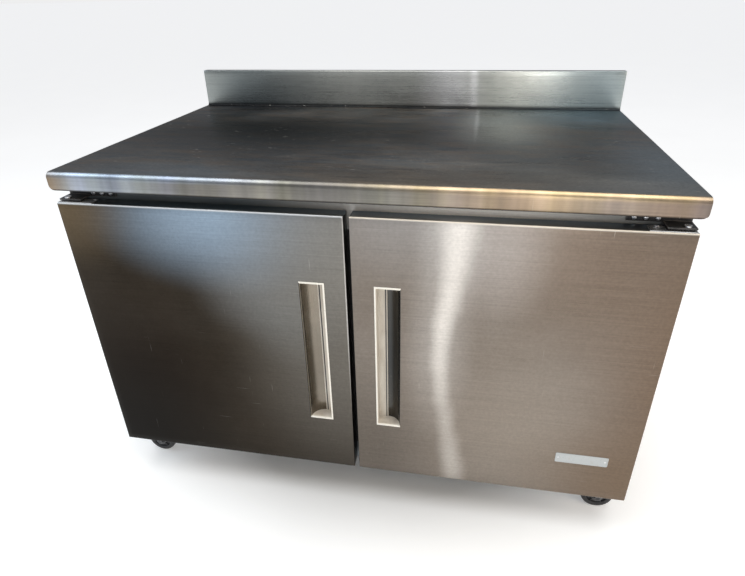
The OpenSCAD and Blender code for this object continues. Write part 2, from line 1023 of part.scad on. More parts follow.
color("gray") door_gasket();  // right_door_gasket
color("beige") pull_cup();  // right_pull_cup
color("dimgray") pull_scoop();  // right_pull_scoop
color("silver") hinge_plates();  // right_hinge_plates
blank_plate();
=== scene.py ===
"""Looks of the two-door worktop refrigerator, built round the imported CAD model."""
import itertools
import json
import math
import random

import bmesh
import bpy
from mathutils import Matrix, Vector, noise


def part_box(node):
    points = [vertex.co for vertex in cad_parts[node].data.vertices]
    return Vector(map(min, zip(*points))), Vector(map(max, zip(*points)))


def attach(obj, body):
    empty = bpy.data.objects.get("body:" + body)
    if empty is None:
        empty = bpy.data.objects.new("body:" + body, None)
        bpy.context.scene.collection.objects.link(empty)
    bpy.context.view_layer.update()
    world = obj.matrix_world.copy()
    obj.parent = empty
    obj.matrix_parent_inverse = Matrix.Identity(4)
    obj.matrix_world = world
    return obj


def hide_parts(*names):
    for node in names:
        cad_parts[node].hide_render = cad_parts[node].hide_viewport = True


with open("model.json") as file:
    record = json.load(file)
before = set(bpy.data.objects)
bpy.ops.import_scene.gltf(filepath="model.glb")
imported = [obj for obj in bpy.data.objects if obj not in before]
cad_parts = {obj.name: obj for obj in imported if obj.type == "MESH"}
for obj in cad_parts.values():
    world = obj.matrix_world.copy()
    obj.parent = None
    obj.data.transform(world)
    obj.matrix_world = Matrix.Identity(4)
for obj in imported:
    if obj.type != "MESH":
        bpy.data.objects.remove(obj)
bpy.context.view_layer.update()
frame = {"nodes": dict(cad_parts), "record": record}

MM = 0.001
SIDES = {"left": -1, "right": 1}
CASTERS = ("front_left", "front_right", "rear_left", "rear_right")
scene = bpy.context.scene


def add_object(name, data):
    result = bpy.data.objects.new(name, data)
    scene.collection.objects.link(result)
    return result


# ---- the frame's sizes

top_low, top_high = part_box("worktop")
up_low, up_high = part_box("upstand")
door_low, door_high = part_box("right_door_skin")
cup_low, cup_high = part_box("right_pull_cup")
scoop_low, scoop_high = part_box("right_pull_scoop")

# Folds, edges and places that no node's box gives; the screws' and louvres' are along X.
NOSE = 11 * MM
TOP_SHEET = 1.5 * MM
CORNER = 11 * MM
COVE = 4 * MM
HEM = 12 * MM
SHEET = 1.2 * MM
LIP = 1.5 * MM
LIP_RISE = 0.8 * MM
CAP = 3 * MM
SCOOP = 30 * MM
BAY_FRONT, BAY_TOP = 58 * MM, 442 * MM
SHELF_END = 38 * MM
BRACKET_SCREWS = (512, 532, 552)
GRILLE_SCREWS = (-580, 0, 580)
LOUVRE_BANKS = (-0.4, 0.0, 0.4)
LOUVRE_HALF = 131 * MM


# ---- camera, floor and light

def aim_camera():
    """The photograph's viewpoint: above the worktop, a little to the right, looking down."""
    yaw, pitch, roll = -0.1971, 0.4964, -0.0234
    forward = Vector((math.sin(yaw) * math.cos(pitch), math.cos(yaw) * math.cos(pitch), -math.sin(pitch)))
    level = Vector((math.cos(yaw), -math.sin(yaw), 0))
    upright = level.cross(forward)
    right = math.cos(roll) * level + math.sin(roll) * upright
    up = -math.sin(roll) * level + math.cos(roll) * upright
    turn = Matrix((right, up, -forward)).transposed().to_4x4()
    data = bpy.data.cameras.new("camera")
    data.lens = 26.41
    data.sensor_width = 36
    data.clip_end = 500
    scene.camera = add_object("camera", data)
    scene.camera.matrix_world = Matrix.Translation((0.2342, -1.3118, 1.1230)) @ turn


def area_light(name, at, target, size, power, colour):
    """A soft rectangular light at one point, facing another."""
    data = bpy.data.lights.new(name, "AREA")
    data.shape = "RECTANGLE"
    data.size, data.size_y = size
    data.energy = power
    data.color = colour
    facing = (Vector(target) - Vector(at)).to_track_quat("-Z", "Y")
    add_object(name, data).matrix_world = Matrix.Translation(at) @ facing.to_matrix().to_4x4()


def light_studio():
    """Soft boxes: cool from the upper left, warm from the right, and a tall strip by the right door."""
    area_light("overhead", (0.0, -0.6, 3.2), (0, -0.4, 0), (3.6, 2.6), 75, (1.0, 0.99, 0.97))
    area_light("cool_left", (-2.6, -0.6, 2.0), (-0.3, -0.1, 0.6), (1.4, 1.4), 26, (0.72, 0.86, 1.0))
    area_light("warm_right", (2.8, -1.6, 1.8), (0.4, -0.3, 0.5), (1.6, 1.6), 40, (1.0, 0.86, 0.70))
    area_light("door_strip", (0.72, -2.9, 0.9), (0.25, -0.38, 0.45), (0.28, 1.9), 9, (1.0, 0.97, 0.93))
    scene.view_settings.view_transform = "Standard"
    world = bpy.data.worlds.new("studio")
    scene.world = world
    world.use_nodes = True
    tree = world.node_tree
    background = tree.nodes["Background"]
    seen = tree.nodes.new("ShaderNodeLightPath")
    shade = tree.nodes.new("ShaderNodeMix")
    shade.data_type = "RGBA"
    shade.inputs["A"].default_value = (0.30, 0.31, 0.33, 1)
    shade.inputs["B"].default_value = (0.86, 0.86, 0.86, 1)
    tree.links.new(seen.outputs["Is Camera Ray"], shade.inputs["Factor"])
    tree.links.new(shade.outputs["Result"], background.inputs["Color"])


# ---- shapes

def mm(*pairs):
    """Pairs of millimetres, in metres."""
    return [(a * MM, b * MM) for a, b in pairs]


class Shape:
    """Points and faces that are gathered into one piece; each face keeps a material number."""

    def __init__(self, points=(), faces=()):
        self.points = [Vector(p) for p in points]
        self.faces = [tuple(f) for f in faces]
        self.slots = [0] * len(self.faces)

    def add(self, other, slot=None):
        start = len(self.points)
        self.points += other.points
        self.faces += [tuple(start + i for i in f) for f in other.faces]
        self.slots += other.slots if slot is None else [slot] * len(other.faces)
        return self

    def closed(self, count):
        """Adds one face over the last points."""
        total = len(self.points)
        self.faces.append(tuple(range(total - count, total)))
        self.slots.append(0)
        return self

    def moved(self, matrix):
        flip = matrix.determinant() < 0
        result = Shape([matrix @ p for p in self.points], [f[::-1] if flip else f for f in self.faces])
        result.slots = list(self.slots)
        return result

    def at(self, x, y, z):
        return self.moved(Matrix.Translation((x, y, z)))

    def on_side(self, side):
        return self.moved(Matrix.Diagonal((SIDES[side], 1, 1, 1)))

    def turned(self, angle, axis):
        return self.moved(Matrix.Rotation(angle, 4, axis))

    def form(self):
        form = bmesh.new()
        points = [form.verts.new(p) for p in self.points]
        for face in self.faces:
            form.faces.new([points[i] for i in face])
        return form

    def piece(self, name, *materials):
        mesh = bpy.data.meshes.new(name)
        mesh.from_pydata([tuple(p) for p in self.points], [], self.faces)
        for material in materials:
            mesh.materials.append(material)
        mesh.polygons.foreach_set("material_index", self.slots)
        mesh.validate()
        return add_object(name, mesh)


def from_form(form, edges=(), radius=0.0, segments=2):
    """The shape of a bmesh, after its edges are rounded."""
    if radius > 0:
        bmesh.ops.bevel(form, geom=edges, offset=radius, segments=segments, profile=0.5, affect="EDGES")
    form.verts.index_update()
    result = Shape([v.co.copy() for v in form.verts], [[v.index for v in f.verts] for f in form.faces])
    form.free()
    return result


def box_shape(low, high, radius=0.0):
    """A block with rounded edges."""
    low, high = Vector(low), Vector(high)
    form = bmesh.new()
    bmesh.ops.create_cube(form, size=1)
    bmesh.ops.scale(form, vec=high - low, verts=form.verts)
    bmesh.ops.translate(form, vec=(low + high) / 2, verts=form.verts)
    return from_form(form, form.edges[:], radius)


def grid(rows, ring=False, closed=False):
    """Quads between rows of points of one length. A closed row joins its ends, and closed joins the last
    row to the first."""
    width = len(rows[0])
    across = width if ring else width - 1
    down = len(rows) if closed else len(rows) - 1
    faces = []
    for j in range(down):
        for i in range(across):
            k, m = (i + 1) % width, (j + 1) % len(rows)
            faces.append((j * width + i, j * width + k, m * width + k, m * width + i))
    return Shape([p for row in rows for p in row], faces)


def circle(count):
    """Directions in a plane, evenly round a full turn."""
    return [(math.cos(math.tau * i / count), math.sin(math.tau * i / count)) for i in range(count)]


def lathe(profile, sides):
    """A profile of (radius, height) turned about +Z. Ends of radius 0 close into a fan."""
    rows = [[(radius * c, radius * s, height) for c, s in circle(sides)] for radius, height in profile]
    form = grid(rows, ring=True).form()
    bmesh.ops.remove_doubles(form, verts=form.verts, dist=1e-7)
    bmesh.ops.dissolve_degenerate(form, dist=1e-8, edges=form.edges)
    bmesh.ops.recalc_face_normals(form, faces=form.faces)
    return from_form(form)


def tube(path, radius, sides=10, closed=False):
    """A round rod along a path of points, with flat ends."""
    path = [Vector(p) for p in path]
    rings = []
    count = len(path)
    normal = None
    for k, p in enumerate(path):
        before = path[k - 1] if closed or k > 0 else p
        after = path[(k + 1) % count] if closed or k < count - 1 else p
        tangent = (after - before).normalized()
        if normal is None:
            normal = Vector((0, 0, 1)) if abs(tangent.z) < 0.9 else Vector((1, 0, 0))
        normal = (normal - tangent * normal.dot(tangent)).normalized()
        other = tangent.cross(normal)
        rings.append([p + radius * (c * normal + s * other) for c, s in circle(sides)])
    shape = grid(rings, ring=True, closed=closed)
    if not closed:
        first, last = shape.points[:sides], shape.points[-sides:]
        shape.add(Shape(first, [range(sides)[::-1]])).add(Shape(last, [range(sides)]))
    return shape


def prism(outline, z0, z1):
    """An outline in X and Y, given anticlockwise, raised from z0 to z1."""
    count = len(outline)
    points = [(x, y, z) for z in (z0, z1) for x, y in outline]
    faces = [(i, (i + 1) % count, count + (i + 1) % count, count + i) for i in range(count)]
    return Shape(points, faces + [range(count)[::-1], range(count, 2 * count)])


def arc(centre, radius, start, end, steps):
    """Points on an arc in a plane, from one angle in degrees to another."""
    angles = [math.radians(start + (end - start) * i / steps) for i in range(steps + 1)]
    return [(centre[0] + radius * math.cos(a), centre[1] + radius * math.sin(a)) for a in angles]


def stations(values, longest):
    """The given places, with more between them so that no gap is longer than a limit."""
    result = [values[0]]
    for a, b in zip(values, values[1:]):
        parts = max(1, math.ceil(abs(b - a) / longest))
        result += [a + (b - a) * (i + 1) / parts for i in range(parts)]
    return result


def rounded_ring(box, radius, y, inset=0.0):
    """A rounded rectangle (x0, x1, z0, z1) in a plane of constant Y, drawn in by some millimetres."""
    d = inset * MM
    x0, x1, z0, z1 = box[0] + d, box[1] - d, box[2] + d, box[3] - d
    ring = []
    for cx, cz, start in ((x1 - radius, z0 + radius, -90), (x1 - radius, z1 - radius, 0),
                          (x0 + radius, z1 - radius, 90), (x0 + radius, z0 + radius, 180)):
        ring += [(x, y, z) for x, z in arc((cx, cz), radius, start, start + 90, 5)]
    return ring


def round_edges(piece, width, segments):
    edge = piece.modifiers.new("edge", "BEVEL")
    edge.width = width
    edge.segments = segments
    edge.limit_method = "ANGLE"
    edge.angle_limit = math.radians(40)


def settle(piece, bevel=0.0, segments=3, thickness=0.0, sharp=38, weld=False):
    """Rounds the edges of a piece, gives its sheet a thickness and applies both."""
    if weld:
        form = bmesh.new()
        form.from_mesh(piece.data)
        bmesh.ops.remove_doubles(form, verts=form.verts, dist=1e-6)
        bmesh.ops.recalc_face_normals(form, faces=form.faces)
        form.to_mesh(piece.data)
        form.free()
    if bevel:
        round_edges(piece, bevel, segments)
    if thickness:
        sheet = piece.modifiers.new("sheet", "SOLIDIFY")
        sheet.thickness = thickness
        sheet.offset = -1
    if piece.modifiers:
        graph = bpy.context.evaluated_depsgraph_get()
        mesh = bpy.data.meshes.new_from_object(piece.evaluated_get(graph))
        piece.modifiers.clear()
        piece.data = mesh
    piece.data.polygons.foreach_set("use_smooth", [True] * len(piece.data.polygons))
    piece.data.set_sharp_from_angle(angle=math.radians(sharp))
    return piece


def wavy(piece, height, length, seed):
    """Slight unevenness of thin sheet: every point moves along its normal by smooth noise."""
    mesh = piece.data
    shift = Vector((seed * 3.7, seed * 1.9, seed * 5.3))
    moves = [v.normal * height * noise.noise(v.co / length + shift) for v in mesh.vertices]
    for vertex, move in zip(mesh.vertices, moves):
        vertex.co += move


def place(piece, body, slot, *nodes):
    """The piece rides on a body and stands for CAD nodes; the slot is not used."""
    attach(piece, body)
    if nodes:
        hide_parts(*nodes)
    return piece


def fit(shape, name, materials, body, slot, *nodes, uneven=None, **edges):
    """Makes a shape into a settled piece and puts it in its place."""
    piece = settle(shape.piece(name, *materials), **edges)
    if uneven:
        wavy(piece, *uneven)
    return place(piece, body, slot, *nodes)


# ---- materials

class Look:
    """A Principled material and short calls that add nodes to it, in object coordinates."""

    def __init__(self, name, **values):
        self.material = bpy.data.materials.new(name)
        self.material.use_nodes = True
        self.tree = self.material.node_tree
        self.shader = self.tree.nodes["Principled BSDF"]
        self.place = self.tree.nodes.new("ShaderNodeTexCoord").outputs["Object"]
        for key, value in values.items():
            self.shader.inputs[key.replace("_", " ")].default_value = value

    def node(self, kind, inputs=(), **settings):
        node = self.tree.nodes.new(kind)
        for key, value in settings.items():
            setattr(node, key, value)
        for key, value in dict(inputs).items():
            if isinstance(value, bpy.types.NodeSocket):
                self.tree.links.new(value, node.inputs[key])
            else:
                node.inputs[key].default_value = value
        return node

    def scaled(self, scale, turn=(0, 0, 0), shift=(0, 0, 0)):
        return self.node("ShaderNodeMapping", {"Vector": self.place, "Scale": scale, "Rotation": turn,
                                               "Location": shift}).outputs["Vector"]

    def noise(self, scale, detail=3.0, rough=0.55, **mapping):
        size = scale if isinstance(scale, tuple) else (scale, scale, scale)
        return self.node("ShaderNodeTexNoise", {"Vector": self.scaled(size, **mapping), "Scale": 1.0,
                                                "Detail": detail, "Roughness": rough}).outputs["Fac"]

    def spot(self, centre, size):
        """1 at a centre, falling smoothly to 0 at a distance of size along each axis."""
        shift = tuple(-c / s for c, s in zip(centre, size))
        place = self.scaled(tuple(1 / s for s in size), shift=shift)
        ball = self.node("ShaderNodeTexGradient", {"Vector": place}, gradient_type="SPHERICAL").outputs["Fac"]
        ramp = self.node("ShaderNodeMapRange", {"Value": ball}, interpolation_type="SMOOTHSTEP")
        return ramp.outputs["Result"]

    def span(self, value, low, high, out_low=0.0, out_high=1.0):
        return self.node("ShaderNodeMapRange", {"Value": value, "From Min": low, "From Max": high,
                                                "To Min": out_low, "To Max": out_high}).outputs["Result"]

    def math(self, operation, a, b):
        return self.node("ShaderNodeMath", {0: a, 1: b}, operation=operation).outputs["Value"]

    def times(self, a, b):
        return self.math("MULTIPLY", a, b)

    def plus(self, a, b):
        return self.math("ADD", a, b)

    def mix(self, share, a, b, blend="MIX"):
        a, b = [v if isinstance(v, bpy.types.NodeSocket) else (*v, 1) for v in (a, b)]
        return self.node("ShaderNodeMix", {"Factor": share, "A": a, "B": b}, data_type="RGBA",
                         blend_type=blend).outputs["Result"]

    def shade(self, colour, red, green, blue):
        """The colour times a factor for each channel."""
        factor = self.node("ShaderNodeCombineColor", {0: red, 1: green, 2: blue}).outputs[0]
        return self.mix(1.0, colour, factor, "MULTIPLY")

    def bump(self, height, strength, distance, normal=None):
        values = {"Height": height, "Strength": strength, "Distance": distance}
        if normal is not None:
            values["Normal"] = normal
        return self.node("ShaderNodeBump", values).outputs["Normal"]

    def wear(self):
        """1 along outside edges, from the difference between the true and the rounded normal."""
        smooth = self.node("ShaderNodeBevel", {"Radius": 4 * MM}, samples=4).outputs["Normal"]
        true = self.node("ShaderNodeNewGeometry").outputs["Normal"]
        dot = self.node("ShaderNodeVectorMath", {0: smooth, 1: true}, operation="DOT_PRODUCT")
        return self.span(dot.outputs["Value"], 0.98, 0.8)

    def finish(self, **links):
        for key, socket in links.items():
            self.tree.links.new(socket, self.shader.inputs[key.replace("_", " ")])
        return self.material


def brushed_steel(name, light, dark, rough=0.3, grain="X", spots=(), scratches=0.5, smears=0.5, relief=1.0,
                  rim=1.0, metallic=1.0, painted_lighting=(), stains=0.0, painted_sway=0.0, mottle=0.03):
    """Brushed stainless sheet: fine lines along one axis, cloudy tarnish, smears and sparse scratches.
    Spots, each (centre, size, colour, share), paint reflections, highlights and shade; so do the
    painted edge highlights, which are also made less metallic. Stains are brown and blue heat marks
    with pale scuffs; the sway is a painted reflection, brightness and hue uneven along X as a slightly
    wavy sheet shows."""
    look = Look(name, Metallic=metallic, Anisotropic=0.55, Specular_Tint=(rim, rim, rim, 1))
    look.shader.inputs["Anisotropic Rotation"].default_value = 0.0 if grain == "Z" else 0.25
    lines = look.noise(tuple(5 if axis == grain else 900 for axis in "XYZ"), 3.0, 0.6)
    bands = look.noise(tuple(1.6 if axis == grain else 130 for axis in "XYZ"), 2.0, 0.5)
    cloud = look.noise(3.1, 5.0, 0.62)
    smear = look.noise((3.2, 11.0, 4.5), 5.0, 0.6, turn=(0.15, 0.25, 0.4))
    colour = look.mix(look.span(cloud, 0.3, 0.72), dark, light)
    film = look.times(look.span(smear, 0.42, 0.78), smears)
    colour = look.mix(look.times(film, 0.22), colour, (0.42, 0.42, 0.4))
    scuffs_and_painted_edges = 0.0
    if stains:
        patch = look.noise((8.0, 34.0, 34.0), 7.0, 0.78)
        for end, tint in ((0.66, (0.33, 0.25, 0.19)), (0.34, (0.14, 0.175, 0.205))):
            colour = look.mix(look.times(look.span(patch, 0.49, end), stains), colour, tint)
        scuff = look.span(look.noise((55.0, 260.0, 90.0), 2.0, 0.5), 0.7, 0.76)
        scuff = look.times(scuff, look.span(look.noise(5.0), 0.42, 0.56))
        scuffs_and_painted_edges = look.times(scuff, 0.25)
    # Spots of painted reflection, painted highlight and painted shade.
    for centre, size, tint, share in spots:
        colour = look.mix(look.times(look.spot(centre, size), share), colour, tint)
    if stains:
        colour = look.mix(scuff, colour, (0.62, 0.59, 0.53))
    # Painted reflection: brightness and hue uneven along X, as a slightly wavy sheet shows.
    if painted_sway:
        wave = look.span(look.noise((17.0, 0.5, 0.5), 3.0, 0.6), 0.3, 0.7, 1 - painted_sway, 1 + painted_sway)
        warm = look.span(look.noise((23.0, 0.5, 0.5), 2.0, 0.5), 0.3, 0.7, 1 + 0.25 * painted_sway, 1 - 0.25 * painted_sway)
        colour = look.shade(colour, wave, wave, look.times(wave, warm))
    fine = look.span(lines, 0.25, 0.75, 0.85, 1.13)
    wide = look.span(bands, 0.25, 0.75, 0.97, 1.03)
    spread = look.span(look.noise(170.0, 3.0, 0.6), 0.3, 0.7, 1 - mottle, 1 + mottle)
    both = look.times(look.times(fine, wide), spread)
    colour = look.shade(colour, both, both, both)
    cuts = look.noise((9, 420, 420), 2.0, 0.5, turn=(0.5, 0.35, 0.6))
    cuts_b = look.noise((400, 400, 11), 2.0, 0.5, turn=(0.2, 0.3, 0.1))
    where = look.span(look.noise(9.0), 0.52, 0.66)
    nicks = look.times(look.span(look.math("MAXIMUM", cuts, cuts_b), 0.73, 0.78), where)
    nicks = look.times(nicks, scratches)
    colour = look.mix(nicks, colour, (0.62, 0.6, 0.56))
    # Painted highlights along edges; with the scuffs they are made less metallic below.
    for centre, size, tint, share in painted_lighting:
        amount = look.times(look.spot(centre, size), share)
        colour = look.mix(amount, colour, tint)
        scuffs_and_painted_edges = look.math("MAXIMUM", amount, scuffs_and_painted_edges)
    if painted_lighting or stains:
        look.tree.links.new(look.span(scuffs_and_painted_edges, 0.0, 0.8, metallic, 0.1), look.shader.inputs["Metallic"])
    dull = look.plus(look.span(lines, 0.25, 0.75, -0.05, 0.06), look.span(cloud, 0.3, 0.7, -0.04, 0.06))
    dull = look.plus(look.plus(dull, look.times(film, 0.16)), rough)
    normal = look.bump(lines, 0.1 * relief, 0.00012)
    normal = look.bump(look.noise(16.0), 0.05 * relief, 0.0015, normal)
    normal = look.bump(nicks, 0.25, 0.0002, normal)
    return look.finish(Base_Color=colour, Roughness=dull, Normal=normal)


def plain_metal(name, colour, rough, wear=0.0, bright=(0.55, 0.55, 0.54), metallic=1.0, mottle=0.25,
                grime=0.4):
    """Stamped or plated metal: mottled colour, grime in patches and bright rubbed edges."""
    look = Look(name, Metallic=metallic)
    patches = look.noise(38.0, 4.0)
    fine = look.noise(420.0)
    darker = tuple(c * (1 - mottle) for c in colour)
    tint = look.mix(look.span(patches, 0.3, 0.7), darker, colour)
    dirt = look.span(look.noise(14.0, 4.0, 0.6), 0.52, 0.72, 0.0, grime)
    tint = look.mix(dirt, tint, tuple(c * 0.45 + 0.01 for c in colour))
    if wear:
        edges = look.times(look.wear(), look.span(patches, 0.35, 0.6, 0.2, 1.0))
        tint = look.mix(look.times(edges, wear), tint, bright)
    dull = look.plus(look.span(fine, 0.3, 0.7, rough - 0.07, rough + 0.09), look.times(dirt, 0.25))
    normal = look.bump(fine, 0.12, 0.0003)
    return look.finish(Base_Color=tint, Roughness=dull, Normal=normal)


def plastic(name, colour, rough, grain=260.0, relief=0.15, aged=0.2, stain=(0.3, 0.22, 0.14), coat=0.0):
    """Moulded plastic: fine grain, faint yellowing and a little dirt."""
    look = Look(name, Coat_Weight=coat, Coat_Roughness=0.2)
    cloud = look.noise(12.0, 4.0, 0.6)
    fine = look.noise(grain, 3.0)
    tint = look.mix(look.span(cloud, 0.25, 0.75), tuple(c * 0.93 for c in colour), colour)
    dirt = look.span(look.noise((60.0, 60.0, 22.0), 5.0, 0.65), 0.58, 0.78, 0.0, aged)
    tint = look.mix(dirt, tint, stain)
    dull = look.plus(look.span(fine, 0.3, 0.7, rough - 0.05, rough + 0.07), dirt)
    return look.finish(Base_Color=tint, Roughness=dull, Normal=look.bump(fine, relief, 0.0003))


def pull_look(name, clean, cavity_shade):
    """The pull's pale moulding: clean on the lip, darker and browner in patches inside the cavity, painted
    shade.
    """
    look = Look(name, Coat_Weight=0.1, Coat_Roughness=0.2)
    depth = look.node("ShaderNodeSeparateXYZ", {"Vector": look.place}).outputs["Y"]
    # Painted shade: the cavity darkens from the door's face inwards.
    inside = look.span(depth, door_low.y, door_low.y + 2.5 * MM)
    cloud = look.noise((60.0, 60.0, 14.0), 4.0, 0.6)
    painted_lighting = look.mix(look.span(cloud, 0.35, 0.7), cavity_shade, tuple(0.5 * (a + b) for a, b in zip(clean, cavity_shade)))
    tint = look.mix(inside, clean, painted_lighting)
    specks = look.span(look.noise(180.0, 4.0, 0.65), 0.62, 0.74, 0.0, 0.35)
    tint = look.mix(specks, tint, (0.24, 0.18, 0.12))
    dull = look.span(cloud, 0.3, 0.7, 0.32, 0.46)
    return look.finish(Base_Color=tint, Roughness=dull, Normal=look.bump(look.noise(260.0), 0.15, 0.0004))


def rubber(name, colour):
    """Moulded rubber with dust and scuffs."""
    rough = 0.62
    look = Look(name, Specular_IOR_Level=0.35, Sheen_Weight=0.15)
    dust = look.span(look.noise(30.0, 5.0, 0.65), 0.48, 0.75, 0.0, 0.35)
    fine = look.noise(700.0)
    tint = look.mix(dust, colour, (0.16, 0.145, 0.125))
    dull = look.plus(look.span(fine, 0.3, 0.7, rough - 0.08, rough + 0.08), look.times(dust, 0.3))
    return look.finish(Base_Color=tint, Roughness=dull, Normal=look.bump(fine, 0.2, 0.0004))


def foam_look(name, colour):
    """Cellular polyurethane foam."""
    look = Look(name, Roughness=0.85)
    cells = look.node("ShaderNodeTexVoronoi", {"Vector": look.scaled((420, 420, 420)), "Scale": 1.0})
    cells = cells.outputs["Distance"]
    tint = look.mix(look.span(cells, 0.0, 0.7), tuple(c * 0.72 for c in colour), colour)
    return look.finish(Base_Color=tint, Normal=look.bump(cells, 0.5, 0.001))


def wood_look(name, light, dark):
    """Plywood backing board with long grain."""
    look = Look(name, Roughness=0.75)
    grain = look.noise((2.5, 60, 90), 5.0, 0.6)
    tint = look.mix(look.span(grain, 0.3, 0.7), dark, light)
    return look.finish(Base_Color=tint, Normal=look.bump(grain, 0.25, 0.0006))


def floor_look():
    """Pale paint with a painted glow, stronger far away; below the cabinet the glow is taken away, a painted
    shadow.
    """
    look = Look("floor_paint", Roughness=0.75, Emission_Color=(1, 1, 1, 1))
    # Painted shadow: hardly any glow below the cabinet.
    below = look.span(look.spot((0, -0.06, 0), (0.95, 0.72, 1)), 0.0, 0.6, 0.0, 0.42)
    glow = look.span(look.spot((0, 0, 0), (5, 5, 5)), 0.0, 1.0, 0.62, 0.42)
    glow = look.math("SUBTRACT", glow, below)
    tint = look.mix(look.span(look.noise(2.2, 5.0), 0.3, 0.7), (0.8, 0.8, 0.79), (0.84, 0.84, 0.83))
    relief = look.bump(look.noise(60.0), 0.03, 0.001)
    return look.finish(Base_Color=tint, Emission_Strength=glow, Normal=relief)


def spots_on(axis, at, reach, *rows):
    """Spots on a face across one axis, from rows of (u, v, width, height, colour, share)."""
    result = []
    for u, v, wide, high, colour, share in rows:
        centre, size = [u, v], [wide, high]
        centre.insert(axis, at)
        size.insert(axis, reach)
        result.append((centre, size, colour, share))
    return result


# The axis that a face lies across, and the Y of the fronts of the doors and the fascia.
Y, Z = 1, 2
FACE = -0.38
# Painted shade on the doors' top faces, dark blue, where they reflect the shade under the worktop.
DOOR_TOP_PAINTED_SHADE = ((0, door_high.y, door_high.z), (8, 0.058, 0.006), (0.1, 0.135, 0.165), 1.0)
# The doors' top front edges, where a painted highlight runs.
DOOR_EDGE = ((0, door_low.y, door_high.z), (8, 0.0042, 0.0042))
# The right door's painted highlight streak, as rows of x, z, width and share.
PAINTED_HIGHLIGHT_STREAK = ((0.211, 0.74, 0.05, 0.62), (0.207, 0.67, 0.042, 0.55), (0.2, 0.6, 0.036, 0.54),
          (0.189, 0.53, 0.032, 0.56), (0.186, 0.45, 0.03, 0.46), (0.192, 0.37, 0.028, 0.34),
          (0.205, 0.29, 0.03, 0.27), (0.216, 0.21, 0.036, 0.3), (0.228, 0.14, 0.04, 0.3))

# Painted light on the worktop: spots of painted reflection, darker and lighter, a thin painted highlight
# streak across the top and painted shade along the cove at the upstand.
top_steel = brushed_steel(
    "worktop_steel", (0.27, 0.262, 0.25), (0.175, 0.17, 0.163), rough=0.27, scratches=1.0, smears=1.0,
    relief=1.4, rim=0.58, stains=0.8, mottle=0.13,
    spots=spots_on(
        Z, 0.82, 0.3,
        (-0.26, 0.02, 0.7, 0.36, (0.02, 0.021, 0.019), 0.88),
        (-0.5, 0.36, 0.34, 0.22, (0.05, 0.06, 0.08), 0.7),
        (0.4, -0.3, 0.45, 0.2, (0.32, 0.32, 0.3), 0.7),
        (0.08, -0.34, 0.55, 0.13, (0.225, 0.19, 0.15), 0.65),
        (-0.38, -0.36, 0.34, 0.1, (0.34, 0.37, 0.39), 0.7),
        (0.28, 0.14, 0.14, 0.36, (0.6, 0.63, 0.59), 0.8),
        (0.226, 0.2, 0.01, 0.3, (0.85, 0.86, 0.84), 0.6),
        (0.6, -0.2, 0.16, 0.34, (0.41, 0.47, 0.5), 0.8),
        (0.54, -0.36, 0.22, 0.1, (0.46, 0.46, 0.44), 0.75),
        (0.52, 0.3, 0.36, 0.26, (0.27, 0.38, 0.44), 0.75)) + [
        ((0, up_low.y, top_high.z), (4, 0.016, 0.016), (0.012, 0.013, 0.014), 1.0)])
# Painted reflections on the fascia, cool on the left and warm on the right, painted highlight tints along the
# rounded nose and a painted shadow line along the lower edge; the sway is a painted reflection.
fascia_steel = brushed_steel(
    "fascia_steel", (0.29, 0.275, 0.245), (0.16, 0.155, 0.14), rough=0.31, scratches=0.25, smears=0.6,
    relief=0.5, painted_sway=0.3,
    spots=spots_on(
        Y, FACE, 0.2,
        (-0.5, 0.8, 0.22, 0.2, (0.36, 0.4, 0.46), 0.85),
        (-0.62, 0.8, 0.07, 0.2, (0.3, 0.22, 0.14), 0.9),
        (0.32, 0.8, 0.26, 0.2, (0.38, 0.28, 0.18), 0.8),
        (0.56, 0.8, 0.14, 0.2, (0.28, 0.21, 0.17), 0.85)) + spots_on(
        Y, FACE + 4 * MM, 0.03,
        (-0.4, 0.817, 0.34, 0.014, (0.58, 0.68, 0.8), 0.85),
        (0.4, 0.817, 0.5, 0.014, (0.68, 0.51, 0.3), 0.9)) + [
        ((0, top_low.y, top_low.z), (4, 0.01, 0.0045), (0.02, 0.017, 0.015), 1.0)])
# A painted lit copy of the worktop's steel, much lighter; its spots are painted reflections, a white painted
# highlight spot and streak, and painted shade along the cove.
splash_steel = brushed_steel(
    "upstand_steel", (0.68, 0.69, 0.64), (0.46, 0.47, 0.44), rough=0.26, scratches=0.4, smears=0.8,
    spots=spots_on(
        Y, up_low.y, 0.02,
        (-0.48, 0.87, 0.34, 0.3, (0.14, 0.17, 0.18), 0.85),
        (0.14, 0.86, 0.12, 0.14, (1.0, 1.0, 1.0), 1.0),
        (0.56, 0.87, 0.26, 0.3, (0.27, 0.33, 0.35), 0.85),
        (0.208, 0.85, 0.02, 0.2, (1.0, 1.0, 1.0), 1.0)) + [
        ((0, up_low.y, top_high.z), (4, 0.014, 0.014), (0.012, 0.013, 0.014), 1.0)])
